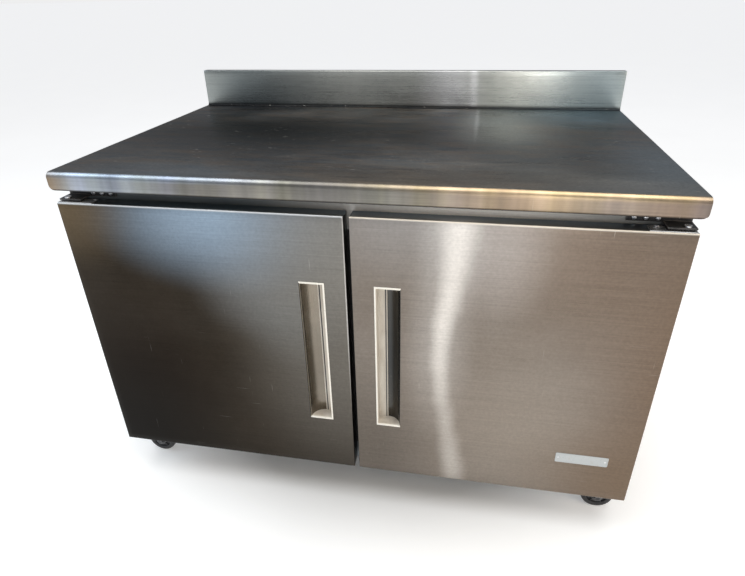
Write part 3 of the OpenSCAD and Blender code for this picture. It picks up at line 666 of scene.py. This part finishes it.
# A painted shaded copy of the door steel, nearly black; painted highlights along its top edge and its edge by
# the middle gap, and spots of painted reflection, cool at the top, painted shade at the lower left.
left_steel = brushed_steel(
    "left_door_steel", (0.042, 0.033, 0.024), (0.023, 0.018, 0.013), scratches=0.35, smears=0.1, mottle=0.07,
    painted_lighting=[(*DOOR_EDGE, (0.86, 0.9, 0.92), 0.9),
          ((-door_low.x, door_low.y, 0.58), (0.0034, 0.0034, 0.34), (0.75, 0.76, 0.75), 0.9)],
    spots=spots_on(
        Y, FACE, 0.3,
        (0.00, 0.49, 0.33, 0.58, (0.165, 0.153, 0.135), 0.76),
        (-0.21, 0.6, 0.16, 0.16, (0.2, 0.205, 0.205), 0.55),
        (-0.13, 0.52, 0.14, 0.15, (0.2, 0.205, 0.2), 0.35),
        (-0.27, 0.76, 0.34, 0.21, (0.33, 0.43, 0.54), 0.82),
        (-0.03, 0.7, 0.26, 0.26, (0.245, 0.235, 0.215), 0.75),
        (-0.6, 0.78, 0.2, 0.2, (0.15, 0.11, 0.066), 0.85),
        (-0.52, 0.34, 0.34, 0.34, (0.01, 0.006, 0.004), 0.75),
        (-0.58, 0.14, 0.44, 0.4, (0.004, 0.003, 0.002), 0.97)) + [DOOR_TOP_PAINTED_SHADE])
# Painted reflections on the right door: lighter and darker spots, the painted highlight streak, a warm
# painted highlight along the top edge and painted shade on the top face.
right_steel = brushed_steel(
    "right_door_steel", (0.22, 0.189, 0.163), (0.16, 0.136, 0.114), mottle=0.07,
    painted_lighting=[(*DOOR_EDGE, (1.0, 0.92, 0.78), 0.95)],
    spots=spots_on(
        Y, FACE, 0.3,
        (0.1, 0.78, 0.26, 0.2, (0.33, 0.315, 0.305), 0.75),
        (0.34, 0.26, 0.3, 0.34, (0.26, 0.225, 0.19), 0.7),
        (0.46, 0.7, 0.22, 0.3, (0.15, 0.112, 0.086), 0.7),
        (0.66, 0.45, 0.26, 0.7, (0.145, 0.098, 0.066), 0.85),
        (0.6, 0.16, 0.3, 0.22, (0.15, 0.105, 0.07), 0.7),
        (0.04, 0.2, 0.2, 0.3, (0.11, 0.095, 0.08), 0.7),
        (0.28, 0.72, 0.13, 0.22, (0.36, 0.33, 0.31), 0.7),
        (0.2, 0.76, 0.085, 0.26, (0.52, 0.5, 0.48), 0.75),
        (0.18, 0.5, 0.09, 0.3, (0.38, 0.355, 0.33), 0.7),
        *[(x, z, wide, 0.085, (0.85, 0.81, 0.76), share) for x, z, wide, share in PAINTED_HIGHLIGHT_STREAK]) + [DOOR_TOP_PAINTED_SHADE])
body_steel = brushed_steel("body_steel", (0.4, 0.39, 0.38), (0.29, 0.28, 0.27), rough=0.33, grain="Z")
# The rail's bright spot on the right is a painted reflection.
rail_steel = brushed_steel(
    "rail_steel", (0.15, 0.175, 0.19), (0.1, 0.12, 0.135), rough=0.33, metallic=0.2,
    spots=[((0.2, -0.34, door_high.z), (0.46, 0.5, 0.3), (1.0, 0.98, 0.94), 1.0)])
# Painted shade: the spot darkens the right pull's scoop inside its cavity.
scoop_steel = brushed_steel(
    "scoop_steel", (0.27, 0.235, 0.19), (0.15, 0.13, 0.105), rough=0.2, grain="Z", scratches=0.2,
    spots=[((0.09, -0.37, 0.43), (0.12, 0.1, 0.6), (0.03, 0.036, 0.042), 0.95)])
galvanised = plain_metal("galvanised_sheet", (0.5, 0.52, 0.54), 0.42, mottle=0.16, grime=0.25)
zinc = plain_metal("zinc_plating", (0.72, 0.73, 0.75), 0.26, mottle=0.2, grime=0.5)
caster_metal = plain_metal("caster_steel", (0.085, 0.085, 0.09), 0.45, wear=0.4)
black_paint = plain_metal("black_paint", (0.022, 0.022, 0.024), 0.38, wear=0.7, metallic=0.0,
                          bright=(0.2, 0.19, 0.18))
copper = plain_metal("copper_pipe", (0.62, 0.32, 0.19), 0.3)
fin_metal = plain_metal("coil_fins", (0.72, 0.73, 0.74), 0.35)
cup_plastic = pull_look("pull_plastic", (0.85, 0.82, 0.74), (0.56, 0.5, 0.42))
liner_plastic = plastic("liner_plastic", (0.83, 0.84, 0.84), 0.32, grain=180.0, aged=0.12)
plate_plastic = plastic("plate_plastic", (0.46, 0.49, 0.5), 0.3, aged=0.45)
dark_plastic = plastic("dark_plastic", (0.035, 0.035, 0.038), 0.42, aged=0.25, stain=(0.12, 0.11, 0.1))
pan_plastic = plastic("pan_plastic", (0.7, 0.7, 0.68), 0.48)
wire_coat = plastic("coated_wire", (0.66, 0.69, 0.71), 0.3, grain=120.0, aged=0.25, coat=0.4)
gasket_rubber = rubber("gasket_rubber", (0.03, 0.03, 0.032))
tyre_rubber = rubber("tyre_rubber", (0.022, 0.022, 0.024))
foam = foam_look("foam", (0.8, 0.68, 0.42))
plywood = wood_look("plywood", (0.55, 0.4, 0.24), (0.36, 0.24, 0.13))

SLOT_LOOKS = {
    "top": splash_steel, "door": right_steel, "body": body_steel, "galvanised": galvanised,
    "scoop": scoop_steel, "pull": cup_plastic, "gasket": gasket_rubber, "liner": liner_plastic,
    "foam": foam, "board": plywood, "black_metal": black_paint, "zinc": zinc, "tyre": tyre_rubber,
    "caster": caster_metal, "copper": copper, "fan": dark_plastic, "wire": wire_coat, "fins": fin_metal,
    "dark_plastic": dark_plastic, "pan": pan_plastic, "plate": plate_plastic}


# ---- worktop and upstand

def fascia_bottom(distance):
    """Height of the skirt's lower edge at a distance from the corner of the fascia."""
    inside = max(0.0, CORNER - distance)
    return top_low.z + CORNER - math.sqrt(max(0.0, CORNER ** 2 - inside ** 2))


def build_worktop():
    """One sheet: a rolled nose and fascia in front, skirts at both ends and a cove up to the upstand."""
    front, back = top_low.y, up_low.y
    half, height = top_high.x, top_high.z
    side = [(front, z) for z in stations([top_low.z + CORNER + 1 * MM, height - NOSE], 9 * MM)][:-1]
    side += arc((front + NOSE, height - NOSE), NOSE, 180, 90, 8)
    side += [(y, height) for y in stations([front + NOSE, back - COVE], 24 * MM)][1:]
    side += arc((back - COVE, height + COVE), COVE, 270, 360, 4)[1:]
    across = [-half + d for d in (0, 0.6 * MM, 2 * MM, 4 * MM, 7 * MM, CORNER)]
    across = across + stations([-half + CORNER, half - CORNER], 24 * MM)[1:-1] + [-x for x in across[::-1]]
    rows, hem = [], []
    for x in across:
        edge = fascia_bottom(half - abs(x))
        rows.append([(x, front, edge)] + [(x, y, z) for y, z in side])
        hem.append([(x, front + HEM, edge), (x, front, edge)])
    shape = grid(rows).add(grid(hem))
    top_of = {round(y, 6): z for y, z in side}
    behind = [y for y in sorted(top_of) if y > front + 1e-6]
    for x in (-half, half):
        strip = [[(x, y, fascia_bottom(y - front)), (x, y, top_of[y])] for y in behind]
        end = [(x, front, fascia_bottom(0))] + [(x, front, z) for y, z in side if abs(y - front) < 1e-6]
        end += strip[0][::-1]
        shape.add(Shape(end, [range(len(end))])).add(grid(strip))
    piece = shape.piece("worktop_sheet", top_steel, fascia_steel)
    settle(piece, bevel=2.2 * MM, thickness=TOP_SHEET, weld=True, sharp=50)
    for face in piece.data.polygons:
        face.material_index = int(face.center.y < front + 0.8 * NOSE or abs(face.normal.x) > 0.7)
    wavy(piece, 0.35 * MM, 0.16, 1)
    place(piece, "cabinet", "top", "worktop")


def build_upstand():
    """A hollow splash with bent edges, open below."""
    half = up_high.x
    outline = [(up_low.y, z) for z in stations([top_high.z + COVE, up_high.z], 16 * MM)]
    outline += [(up_high.y, z) for z in stations([up_high.z, up_low.z], 24 * MM)]
    shape = grid([[(x, y, z) for y, z in outline] for x in stations([-half, half], 30 * MM)])
    for x in (-half, half):
        end = [(x, y, z) for y, z in outline] + [(x, up_low.y, up_low.z)]
        shape.add(Shape(end, [range(len(end))]))
    fit(shape, "upstand_sheet", [splash_steel], "cabinet", "top", "upstand", uneven=(0.3 * MM, 0.14, 2),
        bevel=2.0 * MM, thickness=TOP_SHEET, weld=True, sharp=50)


# ---- doors

def door_skin_shape():
    """The right door's folded pan, with the pull's hole in its face."""
    (x0, front, z0), (x1, back, z1) = door_low, door_high
    hole_x = (cup_low.x + LIP, scoop_high.x)
    hole_z = (cup_low.z + LIP, cup_high.z - LIP)
    xs = stations([x0, *hole_x, x1], 18 * MM)
    zs = stations([z0, *hole_z, z1], 18 * MM)
    width = len(xs)
    faces = []
    for j in range(len(zs) - 1):
        for i in range(width - 1):
            in_x = hole_x[0] < (xs[i] + xs[i + 1]) / 2 < hole_x[1]
            in_z = hole_z[0] < (zs[j] + zs[j + 1]) / 2 < hole_z[1]
            k = j * width + i
            if not (in_x and in_z):
                faces.append((k, k + 1, k + 1 + width, k + width))
    shape = Shape([(x, front, z) for z in zs for x in xs], faces)
    ring = [(x, z0) for x in xs] + [(x1, z) for z in zs[1:]]
    ring += [(x, z1) for x in xs[::-1][1:]] + [(x0, z) for z in zs[::-1][1:-1]]
    return shape.add(grid([[(x, y, z) for x, z in ring] for y in (front, back)], ring=True))


def pull_outline():
    """Plan of the pull's cavity: flat back, then the scoop's curve to the door's face."""
    left = cup_low.x + LIP
    curve = arc((scoop_low.x, door_low.y - 2 * MM), SCOOP, 90, 3.8, 18)
    return [(left, door_low.y), *[(x, min(y, cup_high.y)) for x, y in curve][::-1], (left, cup_high.y)]


def pull_cup_shape():
    """The pale moulding: lip on three sides, a wall, the grooved flat back with a dark strip in the groove as
    painted shade, and the end caps.
    """
    left, end, out = cup_low.x + LIP, scoop_low.x, scoop_high.x
    face, deep = door_low.y, cup_high.y
    wall = 1.5 * MM
    flat = deep - wall
    z0, z1 = cup_low.z + LIP, cup_high.z - LIP
    back = [(left, face), (left + wall, face), (left + wall, flat), (end - 5.0 * MM, flat),
            (end - 4.6 * MM, flat + 0.9 * MM), (end - 2.6 * MM, flat + 0.9 * MM),
            (end - 2.2 * MM, flat - 0.8 * MM), (end, flat - 0.8 * MM), (end, deep), (left, deep)]
    shape = prism(back[::-1], z0 + CAP, z1 - CAP)
    # A dark plastic strip in the groove, as painted shade.
    shade_strip = (end - 4.5 * MM, flat - 0.3 * MM, z0 + CAP), (end - 2.7 * MM, deep - 0.3 * MM, z1 - CAP)
    shape.add(box_shape(*shade_strip), 1)
    for low, high in ((z0, z0 + CAP), (z1 - CAP, z1)):
        shape.add(prism(pull_outline()[::-1], low, high))
    lip = [(left - LIP, z0 - LIP), (out, z0 - LIP), (out, z0 + wall), (left + wall, z0 + wall),
           (left + wall, z1 - wall), (out, z1 - wall), (out, z1 + LIP), (left - LIP, z1 + LIP)]
    lip = prism(lip, 0, LIP_RISE + 0.1 * MM).turned(math.pi / 2, "X").at(0, face + 0.1 * MM, 0).form()
    return shape.add(from_form(lip, lip.edges[:], 0.35 * MM))


def pull_scoop_shape():
    """The curved steel sheet that fingers reach behind."""
    curve = arc((scoop_low.x, door_low.y - 2 * MM), SCOOP, 90, 6.2, 22)
    return grid([[(x, max(y, door_low.y + SHEET), z) for x, y in curve]
                       for z in stations([scoop_low.z, scoop_high.z], 24 * MM)])


def gasket_shape():
    """A ribbed rubber frame with mitred corners."""
    low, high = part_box("right_door_gasket")
    width, depth = 14 * MM, high.y - low.y
    section = mm((0.5, 0), (0.5, 1.6), (2.2, 2.4), (1.2, 3.6), (2.6, 4.8), (1.2, 6.0), (2.4, 7.0), (0.4, 8.2),
                 (0.0, 10.6), (0.8, depth / MM))
    section += [(width - u, v) for u, v in section[::-1]]
    corners = ((low.x, low.z, 1, 1), (high.x, low.z, -1, 1), (high.x, high.z, -1, -1), (low.x, high.z, 1, -1))
    rows = [[(x + dx * u, low.y + v, z + dz * u) for u, v in section] for x, z, dx, dz in corners]
    return grid(rows, ring=True, closed=True)


def door_liner_shape():
    """A formed inner panel: a flat border for the gasket, then a raised field with a shallow recess."""
    low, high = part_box("right_door_liner")
    back, deep = door_high.y, high.y
    border = (low.x, high.x, low.z, high.z)
    field = (door_low.x + 40 * MM, door_high.x - 60 * MM, door_low.z + 60 * MM, door_high.z - 60 * MM)
    rings = [rounded_ring(border, 1 * MM, y) for y in (back - 2 * MM, back)]
    steps = ((-0.5, 5, back), (0.2, 5, back + 1.0 * MM), (1.2, 5, deep - 3.0 * MM), (1.8, 5, deep - 1.2 * MM),
             (3.4, 4, deep), (34, 16, deep), (35, 15, deep - 0.2 * MM), (37, 14, deep - 1.1 * MM),
             (38, 13, deep - 1.3 * MM), (120, 10, deep - 1.3 * MM))
    for inset, radius, y in steps:
        rings.append(rounded_ring(field, radius * MM, y, inset))
    return grid(rings, ring=True).closed(len(rings[0]))


def build_doors():
    for side, steel, seed in (("left", left_steel, 5), ("right", right_steel, 9)):
        skin = dict(uneven=(0.3 * MM, 0.17, seed), bevel=2.4 * MM, segments=4, thickness=SHEET, weld=True)
        for shape, name, materials, slot, node, edges in (
                (door_skin_shape(), "pan", [steel], "door", "door_skin", dict(skin, sharp=50)),
                (pull_cup_shape(), "moulding", [cup_plastic, dark_plastic], "pull", "pull_cup", {}),
                (pull_scoop_shape(), "curve", [scoop_steel], "scoop", "pull_scoop",
                 dict(thickness=SHEET * SIDES[side])),
                (gasket_shape(), "seal", [gasket_rubber], "gasket", "door_gasket", dict(sharp=28)),
                (door_liner_shape(), "inner_panel", [liner_plastic], "liner", "door_liner", dict(sharp=50))):
            kind = node.split("_")[0]
            fit(shape.on_side(side), side + "_" + kind + "_" + name, materials, side + "_door", slot,
                side + "_" + node, **edges)


def build_plate():
    """A blank plate with a raised border and two rivets, where a badge would be."""
    low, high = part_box("blank_plate")
    box = (low.x, high.x, low.z, high.z)
    face, rise = high.y, high.y - low.y
    rings = [rounded_ring(box, 3 * MM, face)]
    for inset, lift in ((0.0, 0.6), (0.4, 1.0), (1.6, 1.0), (2.0, 0.55), (5.0, 0.55)):
        rings.append(rounded_ring(box, max(3 * MM - inset * MM, 1 * MM), face - lift * rise, inset))
    shape = grid(rings, ring=True).closed(len(rings[0]))
    rivet = lathe(mm((0, 0.45), (1.2, 0.35), (1.9, 0), (1.9, -0.2)), 20).turned(math.pi / 2, "X")
    for x in (low.x + 6 * MM, high.x - 6 * MM):
        shape.add(rivet.at(x, face - 0.55 * rise, (low.z + high.z) / 2), 1)
    fit(shape, "blank_door_plate", [plate_plastic, zinc], "right_door", "plate", "blank_plate", sharp=30,
        weld=True)


# ---- inside

def build_liner():
    """One formed room with coved corners: floor, step over the machine bay, upper back, roof and ends."""
    low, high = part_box("liner")
    wall = 2 * MM
    half = high.x - wall
    floor, roof = low.z + wall, high.z - wall
    front, rear = low.y, high.y - wall
    outline = [(front, floor), (BAY_FRONT, floor), (BAY_FRONT, BAY_TOP), (rear, BAY_TOP), (rear, roof),
               (front, roof)]
    count = len(outline)
    faces = [(i, i + 1, count + i + 1, count + i) for i in range(count - 1)]
    faces += [range(count)[::-1], range(count, 2 * count)]
    form = Shape([(x, y, z) for x in (-half, half) for y, z in outline], faces).form()
    bmesh.ops.recalc_face_normals(form, faces=form.faces)
    room = from_form(form, [e for e in form.edges if len(e.link_faces) == 2], 9 * MM, 4)
    fit(room, "room_liner", [liner_plastic], "cabinet", "liner", "liner", sharp=50)


def build_shelves():
    """Wire shelves: a round frame, two cross rods and wires that run from front to back."""
    low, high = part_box("shelves")
    rim = 3 * MM
    x0, x1, y0, y1 = SHELF_END + rim, high.x - rim, low.y + rim, high.y - rim
    count = int((x1 - x0) / (18 * MM))
    for side in SIDES:
        for level, z in (("low", low.z + rim), ("high", high.z - rim)):
            loop = [(x, y, depth) for x, depth, y in rounded_ring((x0, x1, y0, y1), 12 * MM, z)]
            shape = tube(loop, rim, 12, closed=True)
            for share in (0.33, 0.67):
                y = y0 + (y1 - y0) * share
                shape.add(tube([(x0, y, z - 1.0 * MM), (x1, y, z - 1.0 * MM)], 2 * MM))
            top = z + 1.5 * MM
            for i in range(1, count):
                x = x0 + i * (x1 - x0) / count
                wire = [(x, y0 - MM, z), (x, y0 + 2 * MM, top), (x, y1 - 2 * MM, top), (x, y1 + MM, z)]
                shape.add(tube(wire, 1.5 * MM, 8))
            nodes = ["shelves"] if (side, level) == ("left", "low") else []
            fit(shape.on_side(side), "shelf_" + side + "_" + level, [wire_coat], "cabinet", "wire", *nodes)


def blade_shape(inner, outer, chord):
    """One curved fan blade along +X about the Z axis, with a rounded outline."""
    pitch, camber, thick = 26, 3 * MM, 1.8 * MM
    rows = []
    for i in range(9):
        t = i / 8
        radius = inner + (outer - inner) * t
        bulge = 0.72 + 0.5 * math.sin(math.pi * min(1, t * 0.75 + 0.1))
        half = chord / 2 * bulge * (1 if t < 0.9 else 0.86)
        twist = math.radians(pitch * (1.15 - 0.4 * t))
        top, under = [], []
        for j in range(9):
            s = -1 + 2 * j / 8
            lift = camber * (1 - s * s)
            y = s * half * math.cos(twist) - lift * math.sin(twist)
            z = s * half * math.sin(twist) + lift * math.cos(twist)
            edge = thick / 2 * max(0.25, 1 - s * s)
            angle = y / radius
            x, y = radius * math.cos(angle), radius * math.sin(angle)
            top.append((x, y, z + edge))
            under.append((x, y, z - edge))
        rows.append(top + under[::-1])
    shape = grid(rows, ring=True)
    width = len(rows[0])
    shape.faces.append(tuple(range(width))[::-1])
    shape.slots.append(0)
    return shape.closed(width)


def build_fan(node, slot, material, hub, blades, chord):
    """A fan with curved blades on a domed hub, turning about +Y."""
    low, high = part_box(node)
    centre = (low + high) / 2
    blade = blade_shape(hub - 2 * MM, (high.x - low.x) / 2 - 0.5 * MM, chord)
    half = 8 * MM
    shape = Shape()
    for i in range(blades):
        shape.add(blade.turned(math.tau * i / blades, "Z"))
    dome = [(0, half), (hub * 0.6, half - 0.6 * MM), (hub * 0.92, half - 2.4 * MM), (hub, half - 5 * MM),
            (hub, -half), (hub * 0.5, -half), (0, -half)]
    shape.add(lathe(dome, 40))
    fan = shape.turned(math.pi / 2, "X").at(centre.x, (low.y + high.y) / 2, centre.z)
    fit(fan, node + "_blades", [material], node, slot, node)


def build_knob():
    """A ribbed dial with a pointer, and marks round it on the housing."""
    low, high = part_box("thermostat_knob")
    centre = (low + high) / 2
    radius = (high.x - low.x) / 2
    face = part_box("control_housing")[0].y
    cap_back = face - 0.4 * MM
    depth = cap_back - low.y - 4 * MM
    profile = [(0, depth), (radius * 0.8, depth), (radius * 0.9, depth - 0.8 * MM),
               (radius * 0.96, depth - 3 * MM), (radius, 1.5 * MM), (radius, 0), (0, 0)]
    shape = lathe(profile, 72)
    for p in shape.points:
        if math.hypot(p.x, p.y) > radius * 0.85 and p.z < depth - 0.5 * MM:
            ripple = 1 + 0.018 * (math.cos(24 * math.atan2(p.y, p.x)) - 1)
            p.x *= ripple
            p.y *= ripple
    for slot, half, start, end, base, top, edge in ((0, 2.4, -0.82, 0.82, -0.5, 3.6, 0.9),
                                                    (1, 0.6, 0.25, 0.78, 3.4, 3.9, 0.1)):
        shape.add(box_shape((-half * MM, radius * start, depth + base * MM),
                            (half * MM, radius * end, depth + top * MM), edge * MM), slot)
    fit(shape.turned(math.pi / 2, "X").at(centre.x, cap_back, centre.z), "thermostat_dial",
        [dark_plastic, liner_plastic], "thermostat_knob", "dark_plastic", "thermostat_knob")
    marks = Shape()
    for i in range(8):
        turn = math.radians(-135 + 270 * i / 7)
        long = 5 * MM if i in (0, 7) else 3.2 * MM
        tick = box_shape((-0.5 * MM, -0.35 * MM, 0), (0.5 * MM, 0.05 * MM, long), 0.1 * MM)
        marks.add(tick.at(0, 0, radius + 4 * MM).turned(turn, "Y").at(centre.x, face, centre.z))
    fit(marks, "thermostat_marks", [dark_plastic], "cabinet", "dark_plastic")


def build_fan_guard():
    """Wire rings and spokes over the evaporator fan's opening."""
    fan_low, fan_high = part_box("evaporator_fan")
    centre = (fan_low + fan_high) / 2
    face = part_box("evaporator_cover")[0].y - 2.2 * MM
    shape = Shape()
    for radius in (16, 28, 40, 52, 64):
        ring = [(centre.x + radius * MM * c, face, centre.z + radius * MM * s) for c, s in circle(48)]
        shape.add(tube(ring, 1.1 * MM, 8, closed=True))
    for i in range(6):
        turn = math.tau * (i + 0.5) / 6
        spoke = [(centre.x + r * MM * math.cos(turn), face + 1.4 * MM, centre.z + r * MM * math.sin(turn))
                 for r in (14, 65)]
        shape.add(tube(spoke, 1.3 * MM, 8))
    fit(shape, "evaporator_fan_guard", [wire_coat], "cabinet", "wire")


# ---- fasteners

def cross_head(radius, height):
    """A pan head with a cross recess, its top towards +Z and its seat at z = 0."""
    head = lathe([(0, height), (radius * 0.55, height * 0.97), (radius * 0.85, height * 0.72),
                        (radius, height * 0.28), (radius * 0.98, 0), (0, 0)], 24)
    solid = head.piece("head_form")
    cutter = Shape()
    reach, slim = radius * 0.56, radius * 0.13
    for turn in (0, math.pi / 2):
        cutter.add(box_shape((-reach, -slim, height * 0.35), (reach, slim, height * 2)).turned(turn, "Z"))
    knife = cutter.piece("cross_form")
    cut = solid.modifiers.new("cross", "BOOLEAN")
    cut.object = knife
    cut.operation = "DIFFERENCE"
    cut.use_self = True
    graph = bpy.context.evaluated_depsgraph_get()
    mesh = bpy.data.meshes.new_from_object(solid.evaluated_get(graph))
    result = Shape([v.co.copy() for v in mesh.vertices], [p.vertices for p in mesh.polygons])
    for extra in (solid, knife):
        bpy.data.objects.remove(extra)
    return result


def hex_shape(across, height):
    """A hexagon head or nut, chamfered on top, with its seat at z = 0."""
    radius, chamfer = across / math.sqrt(3), 0.6 * MM
    levels = ((radius, 0), (radius, height - chamfer), (radius - chamfer, height))
    rows = [[(r * c, r * s, z) for c, s in circle(6)] for r, z in levels]
    return grid(rows, ring=True).closed(6)


def build_screws():
    """Cross-head screws of the hinge brackets and the rear grille, and rivets of the back panel."""
    shank = lathe(mm((2, 0), (2, -7), (0, -8)), 12)
    screw = cross_head(4.5 * MM, 2.4 * MM).add(shank)
    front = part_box("screws")[0].y + 2.4 * MM
    grille_low, grille_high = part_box("rear_grille")
    places = [(sign * x * MM, front, door_high.z + 9 * MM, 1)
              for sign in SIDES.values() for x in BRACKET_SCREWS]
    places += [(x * MM, grille_high.y, z, -1) for x in GRILLE_SCREWS
               for z in (grille_low.z + 16 * MM, grille_high.z - 10.2 * MM)]
    shape = Shape()
    random.seed(4)
    for x, y, z, facing in places:
        turned = screw.turned(random.uniform(0, 3), "Z").turned(facing * math.pi / 2, "X")
        shape.add(turned.at(x, y, z))
    fit(shape, "cross_head_screws", [zinc], "cabinet", "zinc", "screws", sharp=32)
    rivets = Shape()
    low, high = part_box("back_panel")
    middle = (low.z + high.z) / 2
    dome = lathe(mm((0, 1.3), (1.8, 1.0), (3.0, 0.1), (3.0, -0.4)), 20).turned(-math.pi / 2, "X")
    for x in [low.x + 14 * MM + i * (high.x - low.x - 28 * MM) / 6 for i in range(7)]:
        for z in (low.z + 14 * MM, middle, high.z - 22 * MM):
            if abs(x) > 0.55 or z != middle:
                rivets.add(dome.at(x, high.y, z))
    fit(rivets, "back_panel_rivets", [zinc], "cabinet", "zinc")


# ---- rear

def build_rear():
    """Louvre hoods over the grille's slots, and pressed beads on the back panel."""
    low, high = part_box("rear_grille")
    hoods = Shape()
    profile = ((-1.0, 0.15), (-0.985, 0.6), (-0.95, 1.0), (0.95, 1.0), (0.985, 0.6), (1.0, 0.15))
    for x in LOUVRE_BANKS:
        for i in range(14):
            z = low.z + (36 + 16 * i) * MM
            rows = [[(x + u * LOUVRE_HALF, high.y + lift * 5 * MM * c, z + 7.5 * MM - 7 * MM * (1 - s) * lift)
                     for c, s in arc((0, 0), 1.0, 90, 0, 5)] for u, lift in profile]
            hoods.add(grid(rows))
    fit(hoods, "grille_louvres", [galvanised], "cabinet", "galvanised", thickness=0.8 * MM, sharp=60)
    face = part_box("back_panel")[1].y
    beads = Shape()
    for x0, x1 in ((-560, -40), (40, 560)):
        for z in (470, 560, 650):
            rows = []
            for u in (0, 0.006, 0.02, 0.05, 0.95, 0.98, 0.994, 1):
                lift = min(1.0, math.sqrt(max(0.0, min(u, 1 - u)) / 0.05))
                x = (x0 + (x1 - x0) * u) * MM
                rows.append([(x, face + 3 * MM * lift * s - 0.2 * MM, z * MM + 7 * MM * c)
                             for c, s in arc((0, 0), 1.0, 0, 180, 8)])
            beads.add(grid(rows))
    fit(beads, "back_panel_beads", [galvanised], "cabinet", "galvanised", sharp=60)


# ---- casters

def both_ends(shape):
    """A shape and its mirror image below it."""
    return shape.moved(Matrix.Diagonal((1, 1, -1, 1))).add(shape)


def build_casters():
    """Wheels with a crowned tyre, a ribbed hub, washers and nuts, and the plates' bolts."""
    for name in CASTERS:
        low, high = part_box("wheel_" + name)
        centre = (low + high) / 2
        radius = (high.z - low.z) / 2
        half = 13 * MM
        tyre = [(radius - 10 * MM, half - 1.0 * MM), (radius - 5 * MM, half - 0.6 * MM),
                (radius - 2 * MM, half - 2.2 * MM), (radius - 0.5 * MM, half - 5.5 * MM), (radius, 0)]
        tyre += [(r, -z) for r, z in tyre[::-1][1:]]
        hub = mm((5.1, 14.6), (9, 14.6), (9.6, 14), (10.5, 7))
        hub += [(radius - 13 * MM, 7 * MM), (radius - 12 * MM, half - 2 * MM),
                (radius - 9.6 * MM, half - 1.2 * MM)]
        hub += [(r, -z) for r, z in hub[::-1]]
        wheel = lathe(tyre, 72).add(lathe(hub, 72), 1)
        rib = box_shape((10 * MM, -1.1 * MM, 6 * MM), (radius - 12.3 * MM, 1.1 * MM, 10.5 * MM), 0.5 * MM)
        for k in range(6):
            wheel.add(both_ends(rib.turned(math.tau * k / 6, "Z")), 1)
        washer = lathe(mm((5, 18.6), (9.4, 18.6), (9.4, 17.4)), 32)
        nuts = both_ends(hex_shape(13 * MM, 5 * MM).at(0, 0, 17.6 * MM).add(washer))
        parts = []
        for part in (wheel, nuts):
            part = part.turned(math.pi / 2, "X")
            parts.append((part.turned(math.pi / 2, "Z") if name.startswith("rear") else part).at(*centre))
        fit(parts[0], "caster_wheel_" + name, [tyre_rubber, dark_plastic], "wheel_" + name, "tyre",
            "wheel_" + name, sharp=36)
        fit(parts[1], "axle_nuts_" + name, [caster_metal], "swivel_" + name, "caster", sharp=30)
    bolts = Shape()
    bolt = hex_shape(10 * MM, 4.5 * MM).turned(math.pi, "X")
    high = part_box("caster_plates")[1]
    plate_x, plate_y = high.x - 46 * MM, high.y - 32 * MM
    for sx, sy, dx, dy in itertools.product((-1, 1), (-1, 1), (-38, 38), (-24, 24)):
        bolts.add(bolt.at(sx * plate_x + dx * MM, sy * plate_y + dy * MM, high.z - 3 * MM))
    fit(bolts, "caster_plate_bolts", [zinc], "cabinet", "zinc", sharp=30)


# ---- the CAD nodes that stay

def dress_cad_nodes():
    """Every CAD node takes its slot's material; sheet and plate edges get a small round."""
    rounds = {0.3: "left_hinge_plates right_hinge_plates", 0.4: "front_frame",
              0.5: "side_panels hinge_pins evaporator_cover",
              0.6: "breaker_trim hinge_brackets fork_" + " fork_".join(CASTERS),
              0.7: "caster_plates", 0.8: "pilasters shelf_clips condensate_pan",
              1.0: "mullion cable_gland brake_left brake_right worktop_board condenser_motor",
              1.2: "compressor", 2.0: "compressor_feet", 2.5: "terminal_box", 3.0: "control_housing"}
    radius_of = {name: radius for radius, names in rounds.items() for name in names.split()}
    slots = {s["node"]: s["material_slot"] for s in frame["record"]["subparts"]}
    for name, node in frame["nodes"].items():
        node.data.materials.clear()
        node.data.materials.append(rail_steel if name == "front_frame" else SLOT_LOOKS[slots[name]])
        if name in radius_of:
            round_edges(node, radius_of[name] * MM, 2)


def build_floor():
    size = 200.0
    floor = grid([[(x, y, 0) for x in (-size, size)] for y in (-size, size)])
    floor = floor.piece("studio_floor", floor_look())


aim_camera()
light_studio()
build_floor()
dress_cad_nodes()
build_worktop()
build_upstand()
build_doors()
build_plate()
build_liner()
build_shelves()
build_fan("evaporator_fan", "fan", dark_plastic, 14 * MM, 5, 34 * MM)
build_fan("condenser_fan", "fins", fin_metal, 24 * MM, 4, 56 * MM)
build_fan_guard()
build_knob()
build_screws()
build_rear()
build_casters()
